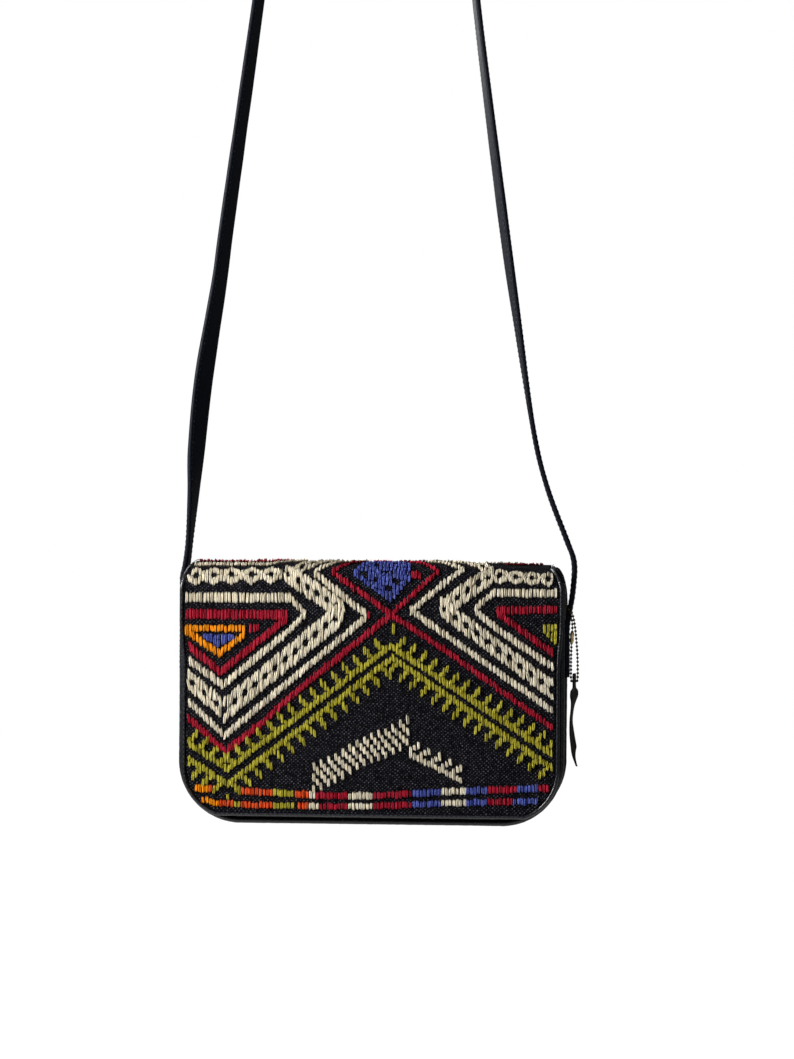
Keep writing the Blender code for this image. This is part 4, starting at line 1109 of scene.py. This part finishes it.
BRASS = metal("plain brass", (0.44, 0.31, 0.12), (0.66, 0.50, 0.25), 0.24)
STEEL = metal("plated steel", (0.42, 0.42, 0.42), (0.6, 0.6, 0.6), 0.3)
SNAP_PIECES = {     # body, finish, slot, and the profile turned about y: (radius, y)
    "snap_socket": ("bag", BRASS, "brass",
                    [(3.2, -23.3), (6.9, -23.3), (7.0, -23.5), (7.0, -24.5), (6.75, -24.85),
                     (6.2, -25.1), (5.2, -25.1), (4.8, -24.95), (4.4, -24.95), (4.1, -25.1),
                     (3.5, -25.1), (3.2, -24.9)]),
    "snap_socket_washer": ("bag", STEEL, "plated_steel",
                           [(0.05, -20.9), (5.8, -20.9), (6.0, -20.8), (6.0, -20.4),
                            (5.8, -20.3), (0.05, -20.3)]),
    "snap_stud": ("flap", BRASS, "brass",
                  [(0.05, -26.1), (6.8, -26.1), (7.0, -26.0), (7.0, -25.55), (6.8, -25.4), (5.4, -25.4),
                   (1.8, -25.4), (1.8, -24.8), (1.6, -24.45), (1.3, -24.3), (0.05, -24.3)]),
    "snap_stud_washer": ("flap", STEEL, "plated_steel",
                         [(0.05, -27.9), (5.8, -27.9), (6.0, -28.0), (6.0, -28.4),
                          (5.8, -28.5), (0.05, -28.5)]),
}
for node, (body, finish, slot_name, profile) in SNAP_PIECES.items():
    rings = turned(np.array([[0, 0, SNAP_Z]]), np.array([[0, 1.0, 0]]),
                   np.array(profile)[:, ::-1] * MM, 40)
    piece = skin(node + "_turned", rings, finish, smooth=35, looped=node == "snap_socket")
    fasten(piece, body, node)

# Strap: one long strap, 18 mm wide, of leather folded to a double thickness and sewn along
# both edges. Both ends are sewn flat to the gusset, and it turns its inner face to the front.

STRAP_W = 18.0 * MM
STRAP_T = 3.0 * MM
STRAP_SEWN = 60.0 * MM
STRAP_SEAM = 7.3 * MM
STRAP_ROUND = 1.1 * MM
STRAP_STEP = 2.2 * MM
END_SEAM_HALF, END_SEAM_RISES = 6.2 * MM, (2.2 * MM, 5.4 * MM)
# Along each leg: how far out of the gusset and above the bag's top, in mm, and the turn in degrees.
LEFT_LEG = [(0.3, -27, 0), (0.3, -5, 0), (0.3, 3, 0), (-1.4, 11, 0), (-3.2, 27, 0), (-5.5, 57, 10),
            (-7.4, 87, 25), (-12.0, 133, 29), (-21.6, 194, 20), (-26.4, 232, 18), (-41.8, 345, 13),
            (-51.8, 420, 8), (-58.6, 470, 4)]
RIGHT_LEG = [(0.3, -41, 0), (0.3, -28, 0), (1.9, -17, 0), (3.3, -9, 0), (4.3, 0, 0), (4.8, 10, 0),
             (3.6, 18, 1), (-0.7, 29, 4), (-13.5, 63, 3), (-22.3, 99, 2), (-33.2, 169, 11),
             (-42.4, 232, 16), (-57.3, 345, 12), (-66.1, 420, 8), (-72.0, 470, 3)]
ARCH_R, ARCH_X, ARCH_Z = 56.0, -6.3, 640.0
LEG_LEAN = math.radians(7.5)


def smooth_through(points, per_span):
    """A curve through the points: in each span the cubic whose slopes are those of its neighbours."""
    p = np.asarray(points, float)
    p = np.concatenate([2 * p[:1] - p[1:2], p, 2 * p[-1:] - p[-2:-1]])
    before, start, stop, after = (p[i:len(p) - 3 + i, None] for i in range(4))
    t = np.linspace(0, 1, per_span, endpoint=False)[:, None]
    curve = 0.5 * (2 * start + (stop - before) * t + (2 * before - 5 * start + 4 * stop - after) * t ** 2
                   + (3 * start - before - 3 * stop + after) * t ** 3)
    return np.concatenate([curve.reshape(-1, p.shape[1]), p[-2:-1]])


def strap_line():
    """Middle line (x, y, z) of the strap with its turn, from the left sewn end to the right one."""
    half_t = STRAP_T / 2 / MM
    turn = np.linspace(math.pi - LEG_LEAN, LEG_LEAN, 9)
    arch = np.stack([ARCH_X + ARCH_R * np.cos(turn), ARCH_Z + ARCH_R * np.sin(turn), 0 * turn], -1)
    legs = []
    for leg, side in ((LEFT_LEG, -1), (RIGHT_LEG, 1)):
        leg = np.array([(0.3, -STRAP_SEWN / MM, 0.0)] + leg, float)
        legs.append(np.stack([side * (GUSSET_OUT / MM + leg[:, 0] + half_t), BODY_TOP / MM + leg[:, 1],
                              leg[:, 2]], -1))
    return smooth_through(np.concatenate([legs[0], arch, legs[1][::-1]]), 10)


def strap_frame():
    """Places, directions along, out of the inner face, and across the strap at even steps."""
    line = strap_line()
    x, z, turn = line.T
    path = np.stack([x * MM, 0 * x, z * MM], -1)
    length = run_length(path)
    t = np.linspace(0, length[-1], round(length[-1] / STRAP_STEP) + 1)
    path = read_at(t, length, path)
    turn = np.radians(np.interp(t, length, turn))[:, None]
    along = unit(np.gradient(path, axis=0))
    inward = np.stack([along[:, 2], 0 * t, -along[:, 0]], -1)
    front = np.array([0.0, -1.0, 0.0])
    face = inward * np.cos(turn) + front * np.sin(turn)
    across = inward * np.sin(turn) - front * np.cos(turn)
    return path, along, face, across, t


def strap_rings(path, face, across, t):
    """The strap's section carried along it: rounded edges and a sewn groove near each edge.

    Across the face the height is half the thickness, less a round-over at the edge and a small
    dip at the seam, and a slow swell in the middle.
    """
    half_w, half_t = STRAP_W / 2, STRAP_T / 2
    w = half_w * np.sin(np.linspace(-math.pi / 2, math.pi / 2, 23))
    edge = np.clip((np.abs(w) - half_w) / STRAP_ROUND + 1, 0, 1)
    tall = half_t * np.sqrt(np.maximum(1 - 0.92 * edge ** 2, 0.03))
    tall = tall - 0.28 * MM * np.exp(-((np.abs(w) - STRAP_SEAM) / (0.45 * MM)) ** 2)
    swell = 0.12 * MM * np.cos(w / half_w * math.pi / 2)
    wave = (1 + 0.05 * noise_1d(t, 33 * MM, 41))[:, None]
    top = (tall + swell) * wave
    middle, off = path[:, None] + across[:, None] * w[:, None], face[:, None] * top[..., None]
    return both_faces(middle + off, middle - off)


STRAP_LEATHER = leather("strap leather", (0.0020, 0.0025, 0.0050), (0.0060, 0.0072, 0.0130), 0.40,
                        800.0, 0.3, 0.35, 0.07)
strap_path, strap_along, strap_face, strap_across, strap_t = strap_frame()
strap = skin("strap_leather", strap_rings(strap_path, strap_face, strap_across, strap_t)[None],
             STRAP_LEATHER, smooth=70)
fasten(strap, "bag", "strap")

strap_seams = []
for aside in (-STRAP_SEAM, STRAP_SEAM):
    for side in (1, -1):
        line = strap_path + strap_across * aside + strap_face * side * (STRAP_T / 2 - 0.12 * MM)
        seam = evenly(line, strap_along, strap_face * side, pitch=3.4 * MM, skip=2.5 * MM)
        strap_seams.append(thread_rings(*seam, 2.4 * MM, 0.26 * MM))
for end in (0, -1):
    to, out = (1 if end == 0 else -1), -strap_face[end]
    for rise in END_SEAM_RISES:
        middle = strap_path[end] + strap_along[end] * to * rise + out * (STRAP_T / 2)
        line = middle + strap_across[end] * np.linspace(-END_SEAM_HALF, END_SEAM_HALF, 9)[:, None]
        seam = evenly(line, np.broadcast_to(strap_across[end], line.shape),
                      np.broadcast_to(out, line.shape), pitch=3.1 * MM)
        strap_seams.append(thread_rings(*seam, 2.3 * MM, 0.28 * MM))
strap_seam = skin("strap_stitches", np.concatenate(strap_seams), BLACK_THREAD)
fasten(strap_seam, "bag")

# Ball chain: darkened brass balls on short links, looped round the strap and through the fob,
# and closed by a plain brass coupling.

# The route's places out of the gusset, to the back, and above the bag's top, in millimetres.
CHAIN_ROUTE = [(4.9, -6.0, -38.2), (4.6, -4.3, -47), (4.5, -2.0, -55), (4.5, -0.8, -61),
               (5.1, -0.3, -63.2), (6.6, 0.0, -64), (8.1, 0.3, -63.2), (8.7, 0.8, -61),
               (8.7, 2.2, -55), (8.3, 4.2, -45), (7.3, 6.6, -34), (5.9, 9.2, -24),
               (4.2, 10.4, -18.5), (2.2, 10.4, -15.2), (1.1, 8.4, -14.5), (1.1, 0.0, -14.5),
               (1.1, -8.4, -14.5), (2.2, -10.4, -15.2), (4.2, -10.4, -18.5), (5.4, -9.6, -25),
               (5.4, -8.3, -30.6)]
BALL_R = 0.86 * MM
BALL_PITCH = 2.5 * MM
LINK_R, LINK_HALF = 0.28 * MM, 0.65 * MM

chain_line = smooth_through(np.array(CHAIN_ROUTE), 12) * MM + np.array([GUSSET_OUT, 0, BODY_TOP])
chain_length = run_length(chain_line)
ball_t = np.linspace(0, chain_length[-1], round(chain_length[-1] / BALL_PITCH) + 1)
ball_places = read_at(ball_t, chain_length, chain_line)
ball_along = unit(np.gradient(ball_places, axis=0))


ball_turn = np.linspace(-1.32, 1.32, 9)
ball_profile = BALL_R * np.stack([np.sin(ball_turn), np.cos(ball_turn)], -1)
DARK_BRASS = metal("darkened brass", (0.020, 0.015, 0.011), (0.11, 0.072, 0.042), 0.28, 0.25)
chain_balls = skin("chain_balls", turned(ball_places, ball_along, ball_profile, 14), DARK_BRASS)
link_places = (ball_places[1:] + ball_places[:-1]) / 2
link_along = unit(ball_places[1:] - ball_places[:-1])
link_profile = [(-LINK_HALF, LINK_R), (LINK_HALF, LINK_R)]
chain_links = skin("chain_links", turned(link_places, link_along, link_profile, 6), DARK_BRASS)
for piece in (chain_balls, chain_links):
    fasten(piece, "chain")
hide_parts("tag_chain")

clasp_reach = ball_places[-1:] - ball_places[:1]
clasp_middle = (ball_places[-1:] + ball_places[:1]) / 2
clasp_half = np.linalg.norm(clasp_reach) / 2 - 0.4 * MM
half_profile = [(clasp_half, 0.55 * MM), (clasp_half, 0.95 * MM), (clasp_half - 0.5 * MM, 1.25 * MM),
                (clasp_half - 1.6 * MM, 1.3 * MM), (0.5 * MM, 1.25 * MM), (0.2 * MM, 1.12 * MM)]
clasp_profile = [(-place, radius) for place, radius in half_profile] + half_profile[::-1]
clasp = skin("chain_coupling", turned(clasp_middle, unit(clasp_reach), clasp_profile, 20), BRASS,
             smooth=40)
fasten(clasp, "chain", "chain_clasp")

# Fob: a strip of soft dark leather with a hole for the chain, folded over at its head, bowed and
# twisted with wear, its lower end cut to a slanting tip.

TAG_W, TAG_T = 12.0, 1.2
# Down the fob: how far out of the gusset and above the hole, in mm, and the turn in degrees.
TAG_LINE = [(6.6, 6.6, 7), (6.6, 2.4, 6), (6.6, -2.4, 6), (6.6, -4.6, 20), (6.4, -8, 22),
            (6.0, -11.5, 12), (5.3, -16, 5), (4.5, -24, 4), (4.9, -32, 10), (6.0, -40, 14),
            (7.0, -46, 14), (9.3, -53, 10)]
TAG_HOLE_Z = -64.3
TAG_TIP, TAG_TIP_W = 12.0, 1.2
TAG_HOLE_R, TAG_HOLE_PUSH = 1.8, 3.4
TAG_HEAD_FROM, TAG_HEAD_RUN, TAG_HEAD_IN = 4.4, 2.2, 2.4


def tag_piece():
    """The fob's strip: across it a soft-edged section, carried down a bowed and turning line.

    The strip's width is full down to the tip's length, then narrows from the rear edge, and the
    points near the hole are pushed out to its rim.
    """
    line = smooth_through(TAG_LINE, 10)
    length = run_length(line[:, :2])
    dx, drop, turn = read_at(np.linspace(0, length[-1], 90), length, line).T
    turn = np.radians(turn)
    share = np.clip((drop - TAG_LINE[-1][1]) / TAG_TIP, 0, 1)
    far = TAG_TIP_W + (TAG_W - TAG_TIP_W) * share - TAG_W / 2
    head = TAG_HEAD_IN * np.clip((drop - TAG_HEAD_FROM) / TAG_HEAD_RUN, 0, 1) ** 2
    near, far = head - TAG_W / 2, far - head
    w = np.sin(np.linspace(-math.pi / 2, math.pi / 2, 21))
    middle, half = (near + far) / 2, (far - near) / 2
    across = middle[:, None] + half[:, None] * w
    rise = np.broadcast_to(drop[:, None], across.shape)
    reach = np.hypot(across, rise)
    pushed = TAG_HOLE_R + (TAG_HOLE_PUSH - TAG_HOLE_R) * reach / TAG_HOLE_PUSH
    push = np.where(reach < TAG_HOLE_PUSH, pushed, reach)
    scale = push / np.maximum(reach, 1e-6)
    across, rise = across * scale, rise * scale
    soft = np.sqrt(np.clip(1 - np.abs(w) ** 9, 0.08, 1))
    curl = 0.5 * (across / 6.0) ** 2 * np.clip(-rise / 30, 0, 1)
    dx, cosine, sine = dx[:, None], np.cos(turn)[:, None], np.sin(turn)[:, None]
    faces = []
    for off in (curl + TAG_T / 2 * soft, curl - TAG_T / 2 * soft):
        faces.append(np.stack([dx + cosine * off + sine * across, cosine * across - sine * off,
                               rise + TAG_HOLE_Z], -1))
    return both_faces(*faces) * MM + np.array([GUSSET_OUT, 0, BODY_TOP])


TAG_LEATHER = leather("fob leather", (0.0035, 0.0030, 0.0026), (0.016, 0.013, 0.009), 0.42,
                      700.0, 0.5, 0.6, 0.12)
tag = skin("fob_leather", tag_piece()[None], TAG_LEATHER, smooth=70)
fasten(tag, "tag", "hang_tag")
